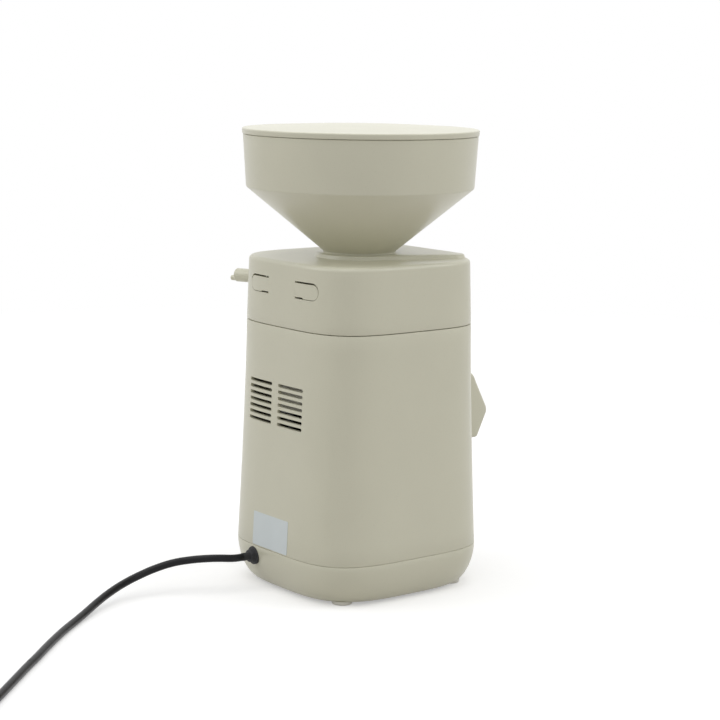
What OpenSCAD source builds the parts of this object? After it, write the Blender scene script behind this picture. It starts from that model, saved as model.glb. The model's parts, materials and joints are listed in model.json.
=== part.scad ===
// Electric grain mill for the kitchen, with a stone milling set.
// Grain falls from a round hopper between two stones in the upper half of a
// rounded square housing. A vertical motor below turns the lower stone, and the
// flour leaves through a hooded spout at the front. A lever under the hopper
// turns the adjusting ring, which sets the gap between the stones.
// Units are millimetres. +Z is up, the spout faces -Y, the vents and the cord
// are at +Y. The origin is on the floor, in the middle of the footprint.

/* [Housing] */
// Half of the housing's width at the upper seam
body_half_w = 75.8; // [73:0.2:80]
// Half of the housing's depth at the upper seam
body_half_d = 75.3; // [73:0.2:80]
// How far each side flares out by the base seam
flare_w = 4.2; // [2:0.2:7]
// How far the front and back flare out by the base seam
flare_d = 6.5; // [4:0.2:9]
// Squareness of the plan outline, 2 is an ellipse
corner_power = 3.85; // [3.5:0.05:4.6]
// Wall of the moulded housings
wall = 3; // [2.6:0.1:3.4]
// Height of the seam above the base shell
base_seam_z = 33; // [30:1:40]
// Height of the seam below the upper housing
upper_seam_z = 210; // [208:1:216]
// Height of the dark line that shows at each seam
seam_gap = 0.6; // [0.3:0.1:1]
// Height of the upper housing's flat roof
roof_z = 261; // [258:1:268]
// Draft of each side from the upper seam to the roof
roof_draft = 2.4; // [1:0.2:4]
// Rounding between the roof and the sides
roof_edge_r = 3.5; // [2:0.5:5]
// Height of the raised panel that the hopper stands on
panel_h = 3; // [2:0.5:4]

/* [Base and feet] */
// Height of the base shell above the floor
base_lift = 2; // [1.5:0.5:5]
// How far the base shell rounds in at its bottom edge
base_tuck = 11.5; // [6:0.5:13]
// Distance of each foot from the centre lines
foot_place = 54; // [50:0.5:58]
// Radius of a foot
foot_r = 8; // [6:0.5:9]
// Depth of the pocket that holds a foot
foot_pocket = 1; // [0.5:0.5:1.5]

/* [Hopper and lid] */
// Height of the hopper's rim
hopper_rim_z = 356; // [340:1:370]
// Outer radius of the hopper at its rim
hopper_rim_r = 91.8; // [86:0.2:96]
// How far the hopper's wall draws in from its rim down to the cone
hopper_draft = 2.5; // [0.8:0.1:5]
// Height of the hopper's wall above the cone
hopper_wall_h = 42; // [36:1:50]
// Wall of the hopper
hopper_wall_t = 2.5; // [2:0.1:3]
// Outer radius of the cone where it meets the panel
cone_foot_r = 28.6; // [27.6:0.2:31]
// Outer radius of the hopper's neck
neck_r = 26; // [24:0.2:26.4]
// How far the neck reaches below the panel's top
neck_depth = 17; // [12:1:19]
// Height of the lid's rim
lid_rim_h = 4.7; // [4:0.1:6]
// How far the lid overhangs the hopper
lid_overhang = 0.8; // [0.4:0.1:1.6]
// Height of the lid's dome above its rim
lid_dome_h = 3; // [1:0.5:5]
// Thickness of the lid's plate
lid_t = 2.4; // [2:0.1:3]
// Depth of the lid's centring ring
lid_ring_h = 6; // [4:0.5:9]

/* [Milling set] */
// Height of the milling chamber's floor
chamber_floor_z = 146; // [144:0.5:148]
// Inner radius of the milling chamber
chamber_r = 60; // [58:0.5:61]
// Radius of both stones
stone_r = 52; // [46:0.5:54]
// Thickness of each stone
stone_t = 20; // [18:0.5:21]
// Gap between the stones at the finest setting
stone_gap = 0.5; // [0.4:0.1:1]
// Radius of the hole through the stones
stone_eye_r = 16; // [15:0.5:18]
// Thickness of the disc that drives the lower stone
driver_t = 6; // [5:0.5:7]
// Height of the gap that the wipers sweep
wiper_h = 5; // [4:0.5:6]
// Radius of the adjuster's sleeve
sleeve_r = 44; // [42:0.5:45]
// Outer radius of the adjusting ring
ring_r = 54; // [52:0.5:55]
// Height of the adjusting ring
ring_h = 24; // [20:1:26]
// Rise of the upper stone for one turn of the ring
thread_pitch = 4; // [2:0.5:6]

/* [Adjusting lever] */
// Height of the lever's centre line
lever_z = 238; // [236:0.5:244]
// Radius of the lever
lever_r = 5.5; // [4.5:0.5:6.5]
// Distance of the lever's end from the mill's axis
lever_reach = 120; // [100:1:130]
// Direction of the lever at the finest setting
lever_angle = 23; // [10:1:26]
// Turn of the lever from the finest to the coarsest setting
lever_sweep = 57; // [40:1:60]

/* [Latches and vents] */
// Height of a latch tongue's centre line
latch_z = 241; // [238:0.5:244]
// Height of a latch tongue
latch_h = 10.6; // [9:0.2:13]
// Distance of a tongue's root from the centre line
latch_root_x = 17.4; // [14:0.2:20]
// Distance of a tongue's tip from the centre line
latch_tip_x = 42.8; // [38:0.2:44]
// Width of the slit round a tongue
latch_slit = 1.4; // [1:0.1:1.8]
// Number of vent slots in each column
vent_count = 7; // [5:1:8]
// Distance from one vent slot to the next
vent_pitch = 5.05; // [4.6:0.05:5.5]
// Height of a vent slot
vent_slot_h = 2.4; // [1.6:0.1:2.8]
// Length of a vent slot
vent_slot_w = 31.6; // [24:0.2:34]
// Bar between the two columns of vents
vent_bar = 8.2; // [6:0.2:12]
// Height of the lowest vent slot
vent_low_z = 134.2; // [125:0.2:140]
// Sideways place of the vents' centre
vent_x = 5.5; // [0:0.5:8]

/* [Spout] */
// Height of the spout's top where it leaves the housing
spout_top_z = 165; // [160:1:168]
// Height of the spout's bottom edge at the housing
spout_low_z = 107; // [102:1:112]
// Height of the spout's nose
spout_nose_z = 131; // [126:1:136]
// Distance of the nose from the mill's axis
spout_reach = 113; // [106:0.5:118]
// Half of the spout's width
spout_half_w = 30; // [28:0.5:34]
// Wall of the spout
spout_wall = 2.5; // [2:0.1:3]

/* [Motor] */
// Radius of the motor shaft
shaft_r = 5; // [4:0.5:6]
// Radius of a bearing
bearing_r = 13; // [12:0.5:14]
// Height of a bearing
bearing_h = 8; // [7:0.5:9]
// Radius of the armature
armature_r = 23; // [20:0.5:23]
// Air gap round the armature
air_gap = 0.5; // [0.4:0.1:1]
// Height of the stator and the armature
core_h = 42; // [38:1:44]
// Height of the bottom of the stator
core_z = 62; // [60:1:63]
// Half of the stator's side
stator_half = 44; // [42:0.5:46]
// Radius of the commutator
commutator_r = 11; // [9:0.5:12]
// Radius of the cooling fan
fan_r = 42; // [36:0.5:44]
// Number of blades on the cooling fan
fan_blades = 9; // [7:1:12]
// Height of the rubber motor mounts
mount_h = 4; // [3:0.5:5]

/* [Switch and plate] */
// Height of the switch on the side
switch_z = 75; // [70:1:85]
// Length of the switch's bezel
switch_l = 21; // [19:0.5:24]
// Width of the switch's bezel
switch_w = 15; // [13:0.5:17]
// Angle of the rocker's throw
rocker_throw = 14; // [10:1:16]
// Width of the rating plate
plate_w = 46.5; // [36:0.5:50]
// Height of the rating plate
plate_h = 26.5; // [20:0.5:30]
// Sideways place of the rating plate's centre
plate_x = 4.5; // [0:0.5:10]
// Height of the rating plate's lower edge
plate_low_z = 34.3; // [34.1:0.1:42]

/* [Cord] */
// Radius of the mains cord
cord_r = 3; // [2.8:0.1:3.2]
// Sideways place of the cord's gland
gland_x = 27; // [24:0.5:32]
// Height of the cord's gland
gland_z = 24.5; // [23:0.5:26]
// Radius of the gland's flange
gland_flange_r = 7.2; // [6.4:0.1:7.4]

/* [Hidden] */
$fn = 64;

ivory = [0.80, 0.78, 0.71];
pale_ivory = [0.88, 0.86, 0.80];
black = [0.05, 0.05, 0.06];
steel = [0.70, 0.71, 0.73];
copper = [0.72, 0.42, 0.25];
stone_grey = [0.62, 0.60, 0.56];
label_grey = [0.74, 0.78, 0.82];

seat_fit = 0.02;      // radial clearance of what is pressed or screwed in
running_fit = 0.05;   // radial clearance of what turns or slides in a bore
play = 0.3;           // gap between parts that pass each other
flare_power = 1.35;   // how late the flare comes on the way down
ring_points = 64;     // points round the housing's outline

lid_r = hopper_rim_r + lid_overhang;
hopper_wall_r = hopper_rim_r - hopper_draft;
nub_r = 2.2;
panel_z = roof_z + panel_h;

// Place of the mill's axis, so that the footprint is centred on the origin
lever_box_x = lever_reach * cos(lever_angle) + nub_r * sin(lever_angle);
mill_x = (lid_r - lever_box_x) / 2;
mill_y = (spout_reach - lid_r) / 2;

module on_axis() {
    translate([mill_x, mill_y, 0]) children();
}

// ---- Outline of the housing ----

function seam_share(z) =
    pow(max(0, upper_seam_z - z) / (upper_seam_z - base_seam_z), flare_power);
function roof_share(z) = max(0, z - upper_seam_z) / (roof_z - upper_seam_z);
function half_x(z) =
    body_half_w + flare_w * seam_share(max(z, base_seam_z)) - roof_draft * roof_share(z);
function half_y(z) =
    body_half_d + flare_d * seam_share(max(z, base_seam_z)) - roof_draft / 3 * roof_share(z);
// Share of the half-depth that is left at the sideways place x
function arch(x, half, power = corner_power) = pow(1 - pow(abs(x) / half, power), 1 / power);
function back_y(x, z) = half_y(z) * arch(x, half_x(z));
function side_x(y, z) = half_x(z) * arch(y, half_y(z));

function outline(z, inset, power = corner_power) = [
    for (i = [0 : ring_points - 1])
        let (
            a = 360 * i / ring_points,
            x = sign(cos(a)) * pow(abs(cos(a)), 2 / power),
            y = sign(sin(a)) * pow(abs(sin(a)), 2 / power)
        )
        [(half_x(z) - inset) * x, (half_y(z) - inset) * y, z]
];

// Solid through a list of outlines. Closed ends get a flat cap, and a ring of
// outlines is joined from its last to its first.
module skin(outlines, inside_out = false, ring = false) {
    n = len(outlines[0]);
    rows = len(outlines);
    last = ring ? rows - 1 : rows - 2;
    sides = [
        for (r = [0 : last], i = [0 : n - 1])
            let (
                a = r * n + i,
                b = r * n + (i + 1) % n,
                c = ((r + 1) % rows) * n + (i + 1) % n,
                d = ((r + 1) % rows) * n + i
            )
            each [[a, c, b], [a, d, c]]
    ];
    caps = ring ? [] : [
        [for (i = [0 : n - 1]) i],
        [for (i = [n - 1 : -1 : 0]) (rows - 1) * n + i]
    ];
    faces = concat(sides, caps);
    polyhedron(
        points = [for (o = outlines) each o],
        faces = inside_out ? [for (f = faces) [for (k = [len(f) - 1 : -1 : 0]) f[k]]] : faces,
        convexity = 6
    );
}

// Bar with a rounded end, in the XZ plane, cut or drawn along Y
module tongue_shape(from_x, to_x, height, centre_z, side) {
    end_r = height / 2;
    rotate([90, 0, 0]) linear_extrude(200) {
        x0 = side > 0 ? from_x : -(to_x - end_r);
        translate([x0, centre_z - end_r]) square([to_x - end_r - from_x, height]);
        translate([side * (to_x - end_r), centre_z]) circle(end_r);
    }
}

// ---- Base shell and feet ----

base_floor_z = base_lift + wall;
base_top_z = base_seam_z - seam_gap / 2;
lip_inset = wall + 0.4;
lip_t = 1.8;
lip_h = 5;
base_steps = 6;
base_power_gain = -0.55;
base_curve = 0.86;    // powers of the base's profile, 1 is an ellipse
base_tuck_curve = 0.78;
post_r = 4.8;
post_room = 9;        // space between a post and the housing's wall
post_x = body_half_w - wall - post_room - post_r;
post_y = 40;
post_screw_r = 2;
screw_head_r = 4;
screw_head_h = 3;
flat_head_r = 3.6;
flat_head_h = 1.8;
thread_grip = 10;     // length of a screw's thread in its post or pillar
head_overlap = 1;     // a shank starts this far inside its head
boss_r = 7;
counterbore_h = 6;
post_low_z = base_seam_z + seam_gap / 2;
foot_h = base_lift + foot_pocket;

module at_posts() {
    for (sx = [-1, 1], sy = [-1, 1]) translate([sx * post_x, sy * post_y, 0]) children();
}

module at_feet() {
    for (sx = [-1, 1], sy = [-1, 1]) translate([sx * foot_place, sy * foot_place, 0]) children();
}

// Outline of the base shell at an angle from its rim (0) to its bottom (90)
function base_outline(a, inset) =
    outline(
        base_top_z - (base_top_z - base_lift - inset) * pow(sin(a), base_curve),
        inset + base_tuck * pow(1 - cos(a), base_tuck_curve),
        corner_power + base_power_gain * (1 - cos(a))
    );

module base_form() {
    outer = [for (i = [base_steps : -1 : 0]) base_outline(90 * i / base_steps, 0)];
    lip = [
        outline(base_top_z, lip_inset),
        outline(base_top_z + lip_h, lip_inset),
        outline(base_top_z + lip_h, lip_inset + lip_t),
        outline(base_top_z - 4, lip_inset + lip_t)
    ];
    inner = [for (i = [2 : base_steps]) base_outline(90 * i / base_steps, wall)];
    skin(concat(outer, lip, inner));
}

module base_shell() {
    color(ivory) on_axis() difference() {
        union() {
            base_form();
            at_posts() translate([0, 0, base_lift + 1])
                cylinder(h = post_low_z - base_lift - 1, r = boss_r);
        }
        at_feet() translate([0, 0, base_lift - 5])
            cylinder(h = 5 + foot_pocket, r = foot_r + 0.15);
        at_posts() translate([0, 0, base_lift - 5])
            cylinder(h = 5 + counterbore_h, r = screw_head_r + 0.4);
        at_posts() cylinder(h = 60, r = post_screw_r + 0.3);
        translate([gland_x, 0, gland_z]) rotate([-90, 0, 0])
            cylinder(h = 120, r = gland_neck_r + 0.1);
        translate([gland_x, gland_seat_y, gland_z]) rotate([-90, 0, 0])
            cylinder(h = 40, r = gland_flange_r + 0.1);
    }
}

module feet() {
    foot_edge = 0.8;
    color(pale_ivory) on_axis() at_feet() rotate_extrude() polygon([
        [0, 0], [foot_r - foot_edge, 0], [foot_r, foot_edge], [foot_r, foot_h], [0, foot_h]
    ]);
}

module base_screws() {
    head_z = base_lift + counterbore_h - screw_head_h;
    color(steel) on_axis() at_posts() difference() {
        union() {
            translate([0, 0, head_z]) cylinder(h = screw_head_h, r = screw_head_r);
            translate([0, 0, head_z + 1]) cylinder(h = post_low_z + 12 - head_z, r = post_screw_r);
        }
        translate([-0.5, -2.5, head_z - 1]) cube([1, 5, 2]);
        translate([-2.5, -0.5, head_z - 1]) cube([5, 1, 2]);
    }
}

// ---- Main housing ----

main_top_z = upper_seam_z - seam_gap / 2;
main_rings = 5;
chamber_rim_z = upper_seam_z - 6;
flange_t = 3;
post_top_z = chamber_rim_z - flange_t;
duct_half_w = 20;
duct_low_z = 124;
duct_top_z = 160;
duct_cut_half_w = duct_half_w + spout_wall + 0.5;
duct_cut_low_z = duct_low_z - spout_wall - 0.5;
duct_cut_top_z = duct_top_z + spout_wall + 0.5;
plate_t = 0.8;
plate_sink = 0.5;
plate_tilt = atan((half_y(plate_low_z) - half_y(plate_low_z + plate_h)) / plate_h);
switch_sink = 1;

module main_form() {
    rise = (main_top_z - post_low_z) / (main_rings - 1);
    levels = [for (i = [0 : main_rings - 1]) post_low_z + rise * i];
    outer = [for (z = levels) outline(z, 0)];
    inner = [for (i = [main_rings - 1 : -1 : 0]) outline(levels[i], wall)];
    skin(concat(outer, inner), ring = true);
}

module vents() {
    column = (vent_slot_w + vent_bar) / 2;
    end_r = vent_slot_h / 2;
    rotate([-90, 0, 0]) linear_extrude(120)
        for (side = [-1, 1], i = [0 : vent_count - 1])
            translate([vent_x + side * column, -(vent_low_z + i * vent_pitch)]) {
                square([vent_slot_w - vent_slot_h, vent_slot_h], center = true);
                for (e = [-1, 1]) translate([e * (vent_slot_w / 2 - end_r), 0]) circle(end_r);
            }
}

module plate_place() {
    translate([plate_x, back_y(plate_x, plate_low_z), plate_low_z]) rotate([plate_tilt, 0, 0]) children();
}

module main_housing() {
    color(ivory) on_axis() difference() {
        union() {
            main_form();
            at_posts() translate([0, 0, post_low_z])
                cylinder(h = post_top_z - post_low_z, r = post_r);
            for (sx = [-1, 1], sy = [-1, 1]) {
                rib_end = side_x(post_y, post_top_z) - wall / 2;
                x0 = sx > 0 ? post_x : -rib_end;
                translate([x0, sy * post_y - wall / 2, post_low_z])
                    cube([rib_end - post_x, wall, post_top_z - post_low_z]);
            }
        }
        vents();
        at_posts() translate([0, 0, post_low_z - 1])
            cylinder(h = 20, r = post_screw_r + seat_fit);
        at_posts() translate([0, 0, post_top_z - 12])
            cylinder(h = 20, r = post_screw_r + seat_fit);
        translate([-duct_cut_half_w, -120, duct_cut_low_z])
            cube([2 * duct_cut_half_w, 80, duct_cut_top_z - duct_cut_low_z]);
        for (sx = [-1, 1]) translate([sx * spout_peg_x, 0, spout_peg_z]) rotate([90, 0, 0])
            cylinder(h = 120, r = spout_peg_r + seat_fit);
        plate_place() translate([-plate_w / 2 - 0.1, -plate_sink, -0.1])
            cube([plate_w + 0.2, 20, plate_h + 0.2]);
        translate([40, -switch_w / 2 + 1, switch_z - switch_l / 2 + 1])
            cube([60, switch_w - 2, switch_l - 2]);
        translate([switch_face_x - switch_bezel_t, -switch_w / 2 - 0.1, switch_z - switch_l / 2 - 0.1])
            cube([20, switch_w + 0.2, switch_l + 0.2]);
    }
}

module rating_plate() {
    color(label_grey) on_axis() plate_place()
        translate([-plate_w / 2, -plate_sink, 0]) cube([plate_w, plate_t, plate_h]);
}

// ---- Upper housing ----

upper_low_z = upper_seam_z + seam_gap / 2;
roof_under_z = roof_z - wall;
edge_steps = 4;
pillar_angle = 60;
pillar_place = 68;
pillar_r = 4.6;
cover_z = chamber_rim_z + 2;
cover_t = 3;
lever_room = 0.8;
slot_half_angle = asin((lever_r + lever_room) / (body_half_w - wall));
neck_hole_r = neck_r + 0.4;
window_y = pillar_place * sin(pillar_angle) + pillar_r + 1;

module at_pillars() {
    for (a = [pillar_angle, 180 - pillar_angle, 180 + pillar_angle, 360 - pillar_angle])
        rotate(a) translate([pillar_place, 0, 0]) children();
}

module upper_form() {
    roof_edge = [
        for (i = [edge_steps : -1 : 0]) let (a = 90 * i / edge_steps)
            outline(roof_z - roof_edge_r * (1 - sin(a)), roof_edge_r * (1 - cos(a)))
    ];
    walls = [
        outline(upper_low_z, 0),
        outline(upper_low_z, lip_inset),
        outline(upper_low_z - lip_h, lip_inset),
        outline(upper_low_z - lip_h, lip_inset + lip_t),
        outline(upper_low_z + 3, lip_inset + lip_t),
        outline(upper_low_z + 5, wall),
        outline(roof_under_z - roof_edge_r / 2, wall),
        outline(roof_under_z, wall + roof_edge_r / 2)
    ];
    skin(concat(roof_edge, walls), inside_out = true);
}

// Fan-shaped panel from the hopper's neck to the front corners
module raised_panel() {
    panel_edge = 1.5;
    neck_pad_r = cone_foot_r + 5;
    corner_r = 9;
    corner_x = 47;
    corner_y = 56;
    sheet = 0.01;
    hull() {
        for (step = [[roof_z - 0.5, panel_edge], [panel_z - sheet, 0]])
            translate([0, 0, step[0]]) linear_extrude(sheet) {
                circle(neck_pad_r + step[1]);
                for (sx = [-1, 1]) translate([sx * corner_x, -corner_y]) circle(corner_r + step[1]);
            }
    }
}

module lever_slot(half_height, inner, outer) {
    first = lever_angle - lever_sweep - slot_half_angle;
    turn = lever_sweep + 2 * slot_half_angle + 3;
    translate([0, 0, lever_z - half_height]) rotate(first)
        rotate_extrude(angle = turn) translate([inner, 0]) square([outer - inner, 2 * half_height]);
}

module upper_housing() {
    color(ivory) on_axis() difference() {
        union() {
            upper_form();
            raised_panel();
            at_pillars() translate([0, 0, cover_z + cover_t])
                cylinder(h = roof_z - 1 - cover_z - cover_t, r = pillar_r);
        }
        translate([0, 0, upper_low_z]) cylinder(h = 80, r = neck_hole_r);
        at_pillars() translate([0, 0, cover_z])
            cylinder(h = cover_t + 12, r = post_screw_r + seat_fit);
        lever_slot(lever_r + lever_room, body_half_w - 14, body_half_w + 40);
        for (side = [-1, 1]) intersection() {
            translate([0, 200, 0])
                tongue_shape(latch_root_x, latch_tip_x + latch_slit, latch_h + 2 * latch_slit, latch_z, side);
            translate([-60, window_y, 0]) cube([120, 80, 400]);
        }
    }
}

module latch_tongue(side) {
    color(ivory) on_axis() intersection() {
        skin([
            outline(latch_z - latch_h, 0), outline(latch_z + latch_h, 0),
            outline(latch_z + latch_h, wall), outline(latch_z - latch_h, wall)
        ], ring = true);
        translate([0, 200, 0]) tongue_shape(latch_root_x + play, latch_tip_x, latch_h, latch_z, side);
        translate([-60, window_y, 0]) cube([120, 80, 400]);
    }
}

module latch_tongue_left() {
    latch_tongue(1);
}

module latch_tongue_right() {
    latch_tongue(-1);
}

// ---- Hopper and lid ----

hopper_wall_z = hopper_rim_z - hopper_wall_h;
neck_low_z = panel_z - neck_depth;
cone_bend = 2;
rim_chamfer = 0.7;

module hopper() {
    slope = atan((hopper_wall_z - panel_z) / (hopper_wall_r - cone_foot_r));
    t = hopper_wall_t;
    color(ivory) on_axis() rotate_extrude() polygon([
        [neck_r, neck_low_z],
        [neck_r, panel_z],
        [cone_foot_r, panel_z],
        [cone_foot_r, panel_z + 1.2],
        [hopper_wall_r - cone_bend * cos(slope), hopper_wall_z - cone_bend * sin(slope)],
        [hopper_wall_r - 0.3, hopper_wall_z],
        [hopper_wall_r, hopper_wall_z + cone_bend],
        [hopper_rim_r, hopper_rim_z - rim_chamfer],
        [hopper_rim_r - rim_chamfer, hopper_rim_z],
        [hopper_rim_r - t, hopper_rim_z],
        [hopper_wall_r - t, hopper_wall_z + cone_bend],
        [hopper_wall_r - t - cone_bend, hopper_wall_z + t * 0.6],
        [neck_r - t, panel_z + t * 1.2],
        [neck_r - t, neck_low_z]
    ]);
}

module hopper_lid() {
    ring_outer_r = hopper_rim_r - hopper_wall_t - 0.4;
    ring_t = 2;
    edge = 1.2;
    top_z = hopper_rim_z + lid_rim_h;
    color(ivory) on_axis() rotate_extrude() polygon([
        [0, top_z + lid_dome_h - lid_t],
        [ring_outer_r - ring_t, top_z - lid_t],
        [ring_outer_r - ring_t, hopper_rim_z - lid_ring_h],
        [ring_outer_r - 0.6, hopper_rim_z - lid_ring_h],
        [ring_outer_r, hopper_rim_z - lid_ring_h + 1],
        [ring_outer_r, hopper_rim_z],
        [lid_r - 0.5, hopper_rim_z],
        [lid_r, hopper_rim_z + 0.5],
        [lid_r, top_z - edge],
        [lid_r - 0.35 * edge, top_z - 0.35 * edge],
        [lid_r - edge, top_z],
        [lid_r * 0.66, top_z + lid_dome_h * 0.56],
        [lid_r * 0.33, top_z + lid_dome_h * 0.89],
        [0, top_z + lid_dome_h]
    ]);
}

// ---- Spout ----

duct_end_y = -84;
spout_peg_x = 25;
spout_peg_z = 116;
spout_peg_r = 2.2;
nose_r = 3.5;

// Block from the front wall to the nose, drawn in by an inset
module hood(inset, drop) {
    wall_y = -half_y(spout_top_z) + 2;
    top_z = spout_top_z - inset * 1.4;
    nose_y = -spout_reach + nose_r + inset;
    half = spout_half_w - inset;
    hull() {
        for (sx = [-1, 1]) {
            for (z = [spout_low_z - drop, top_z - 1])
                translate([sx * (half - 1), wall_y, z]) rotate([90, 0, 0]) cylinder(h = 0.01, r = 1);
            translate([sx * (half - nose_r), nose_y, spout_nose_z - drop - 5])
                cylinder(h = 5 + drop, r = nose_r);
        }
    }
}

module flour_spout() {
    color(ivory) on_axis() {
        difference() {
            hood(0, 0);
            hood(spout_wall, 24);
            skin([outline(60, 0), outline(120, 0), outline(200, 0)]);
        }
        for (sx = [-1, 1]) spout_lug(sx);
    }
}

// Lug inside the hood with a peg that plugs into the housing's front wall
module spout_lug(sx) {
    lug_w = 8;
    lug_h = 6;
    lug_t = 4;
    x0 = sx > 0 ? spout_peg_x - lug_w / 2 : -spout_half_w + 1;
    front = -half_y(spout_peg_z) - play;
    translate([x0, front - lug_t, spout_peg_z - lug_h / 2])
        cube([spout_half_w - 1 - spout_peg_x + lug_w / 2, lug_t, lug_h]);
    translate([sx * spout_peg_x, front + wall, spout_peg_z]) rotate([90, 0, 0])
        cylinder(h = wall + 1, r = spout_peg_r);
}

// ---- Milling chamber ----

chamber_wall = 2.5;
chamber_under_z = chamber_floor_z - 3;
floor_hole_r = shaft_r + 3;
seal_w = 3.2;

module chamber_duct(inset) {
    w = 2 * (duct_half_w + spout_wall - inset);
    s = inset;
    translate([w / 2, 0, 0]) rotate([90, 0, -90]) linear_extrude(w) polygon([
        [chamber_r - 8, chamber_under_z + (s > 0 ? 3 : 0)],
        [-duct_end_y + (s > 0 ? 1 : 0), duct_low_z + s - (s > 0 ? 0.6 : 0)],
        [-duct_end_y + (s > 0 ? 1 : 0), duct_top_z - 8 - s],
        [chamber_r - 8, duct_top_z - s + 2]
    ]);
}

module milling_chamber() {
    color(pale_ivory) on_axis() difference() {
        union() {
            translate([0, 0, chamber_under_z])
                cylinder(h = chamber_rim_z - chamber_under_z, r = chamber_r + chamber_wall);
            translate([0, 0, post_top_z]) cylinder(h = flange_t, r = chamber_r + chamber_wall + 1);
            at_posts() translate([0, 0, post_top_z]) cylinder(h = flange_t, r = post_r + 1.5);
            for (sx = [-1, 1], sy = [-1, 1]) rotate(atan2(sy * post_y, sx * post_x))
                translate([chamber_r, -post_r, post_top_z])
                    cube([norm([post_x, post_y]) - chamber_r, 2 * post_r, flange_t]);
            chamber_duct(0);
        }
        translate([0, 0, chamber_floor_z]) cylinder(h = 100, r = chamber_r);
        chamber_duct(spout_wall);
        translate([0, 0, chamber_under_z - 1]) cylinder(h = 10, r = floor_hole_r);
        at_posts() cylinder(h = 300, r = post_screw_r + 0.2);
        at_mounts() translate([0, 0, chamber_under_z - 1]) cylinder(h = 3, r = stud_r + seat_fit);
    }
}

module chamber_seal() {
    color(black) on_axis() translate([0, 0, chamber_rim_z]) difference() {
        cylinder(h = cover_z - chamber_rim_z, r = chamber_r + chamber_wall + 1);
        translate([0, 0, -1]) cylinder(h = 10, r = chamber_r + chamber_wall + 1 - seal_w);
    }
}

module chamber_screws() {
    color(steel) on_axis() at_posts() {
        translate([0, 0, chamber_rim_z]) cylinder(h = flat_head_h, r = flat_head_r);
        translate([0, 0, post_top_z - thread_grip])
            cylinder(h = thread_grip + flange_t + head_overlap, r = post_screw_r);
    }
}

// ---- Adjuster ----

ring_low_z = lever_z - ring_h / 2;
collar_inner_r = ring_r + running_fit;
collar_t = 4;
collar_lip = 3;
cover_r = min(body_half_d, body_half_w) - lip_inset - lip_t - 0.6;

module adjuster_housing() {
    low = cover_z;
    ledge_z = ring_low_z - play;
    color(pale_ivory) on_axis() difference() {
        union() {
            translate([0, 0, low]) cylinder(h = cover_t, r = cover_r);
            at_pillars() translate([0, 0, low]) cylinder(h = cover_t, r = pillar_r + 1.4);
            translate([0, 0, low + 1]) cylinder(h = roof_under_z - low - 1, r = collar_inner_r + collar_t);
        }
        translate([0, 0, low - 1]) cylinder(h = 100, r = ring_r - collar_lip);
        translate([0, 0, ledge_z]) cylinder(h = 100, r = collar_inner_r);
        at_pillars() translate([0, 0, low - 1]) cylinder(h = 10, r = post_screw_r + 0.2);
        adjuster_slot();
        at_pillars() translate([0, 0, low + cover_t]) cylinder(h = 100, r = pillar_r + 0.2);
    }
}

module adjuster_slot() {
    half_angle = asin((lever_r + lever_room) / ring_r);
    first = lever_angle - lever_sweep - half_angle;
    translate([0, 0, lever_z - lever_r - lever_room]) rotate(first)
        rotate_extrude(angle = lever_sweep + 2 * half_angle + 3)
            translate([ring_r - collar_lip, 0])
                square([collar_lip + 4 * collar_t, 2 * (lever_r + lever_room)]);
}

module adjuster_screws() {
    color(steel) on_axis() at_pillars() {
        translate([0, 0, cover_z - flat_head_h]) cylinder(h = flat_head_h, r = flat_head_r);
        translate([0, 0, cover_z - head_overlap])
            cylinder(h = head_overlap + cover_t + thread_grip, r = post_screw_r);
    }
}

sleeve_t = 4;
ring_inner_r = sleeve_r + running_fit;
lever_root_r = ring_inner_r + 2;

module adjusting_ring() {
    color(pale_ivory) on_axis() difference() {
        translate([0, 0, ring_low_z]) cylinder(h = ring_h, r = ring_r);
        translate([0, 0, ring_low_z - 1]) cylinder(h = ring_h + 2, r = ring_inner_r);
        rotate(lever_angle) translate([lever_root_r, 0, lever_z]) rotate([0, 90, 0])
            cylinder(h = 30, r = lever_r + seat_fit);
    }
}

module adjusting_lever() {
    nub_l = 5;
    nub_drop = 2.6;
    tip_edge = 1;
    body_l = lever_reach - nub_l;
    color(ivory) on_axis() rotate(lever_angle) translate([0, 0, lever_z]) rotate([0, 90, 0]) {
        rotate_extrude() polygon([
            [0, lever_root_r + seat_fit],
            [lever_r, lever_root_r + seat_fit],
            [lever_r, body_l - tip_edge],
            [lever_r - tip_edge, body_l],
            [0, body_l]
        ]);
        translate([nub_drop, 0, body_l - 1]) cylinder(h = nub_l + 1, r = nub_r);
    }
}

// ---- Stones ----

driver_z = chamber_floor_z + wiper_h + 1;
lower_stone_z = driver_z + driver_t;
upper_stone_z = lower_stone_z + stone_t + stone_gap;
carrier_z = upper_stone_z + stone_t;
carrier_t = 5;
carrier_r = stone_r + 3;
hub_r = 12;
hub_h = 6;
nut_h = 6.5;
nut_r = 7.5;
thread_r = shaft_r - 1;
shaft_top_z = lower_stone_z + hub_h + nut_h + 2.5;
furrow_count = 10;
furrow_w = 4;
furrow_h = 2;
feed_wall = 2.4;
feed_top_gap = 2;

module furrows(z) {
    for (i = [0 : furrow_count - 1]) rotate(360 * i / furrow_count)
        translate([stone_eye_r - 2, 6, z]) cube([stone_r - stone_eye_r - 10, furrow_w, furrow_h]);
}

module stone_ring() {
    difference() {
        cylinder(h = stone_t, r = stone_r);
        translate([0, 0, -1]) cylinder(h = stone_t + 2, r = stone_eye_r);
    }
}

module upper_stone() {
    color(stone_grey) on_axis() difference() {
        translate([0, 0, upper_stone_z]) stone_ring();
        furrows(upper_stone_z - 0.01);
    }
}

module lower_stone() {
    color(stone_grey) on_axis() difference() {
        translate([0, 0, lower_stone_z]) stone_ring();
        furrows(lower_stone_z + stone_t - furrow_h + 0.01);
    }
}

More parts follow.
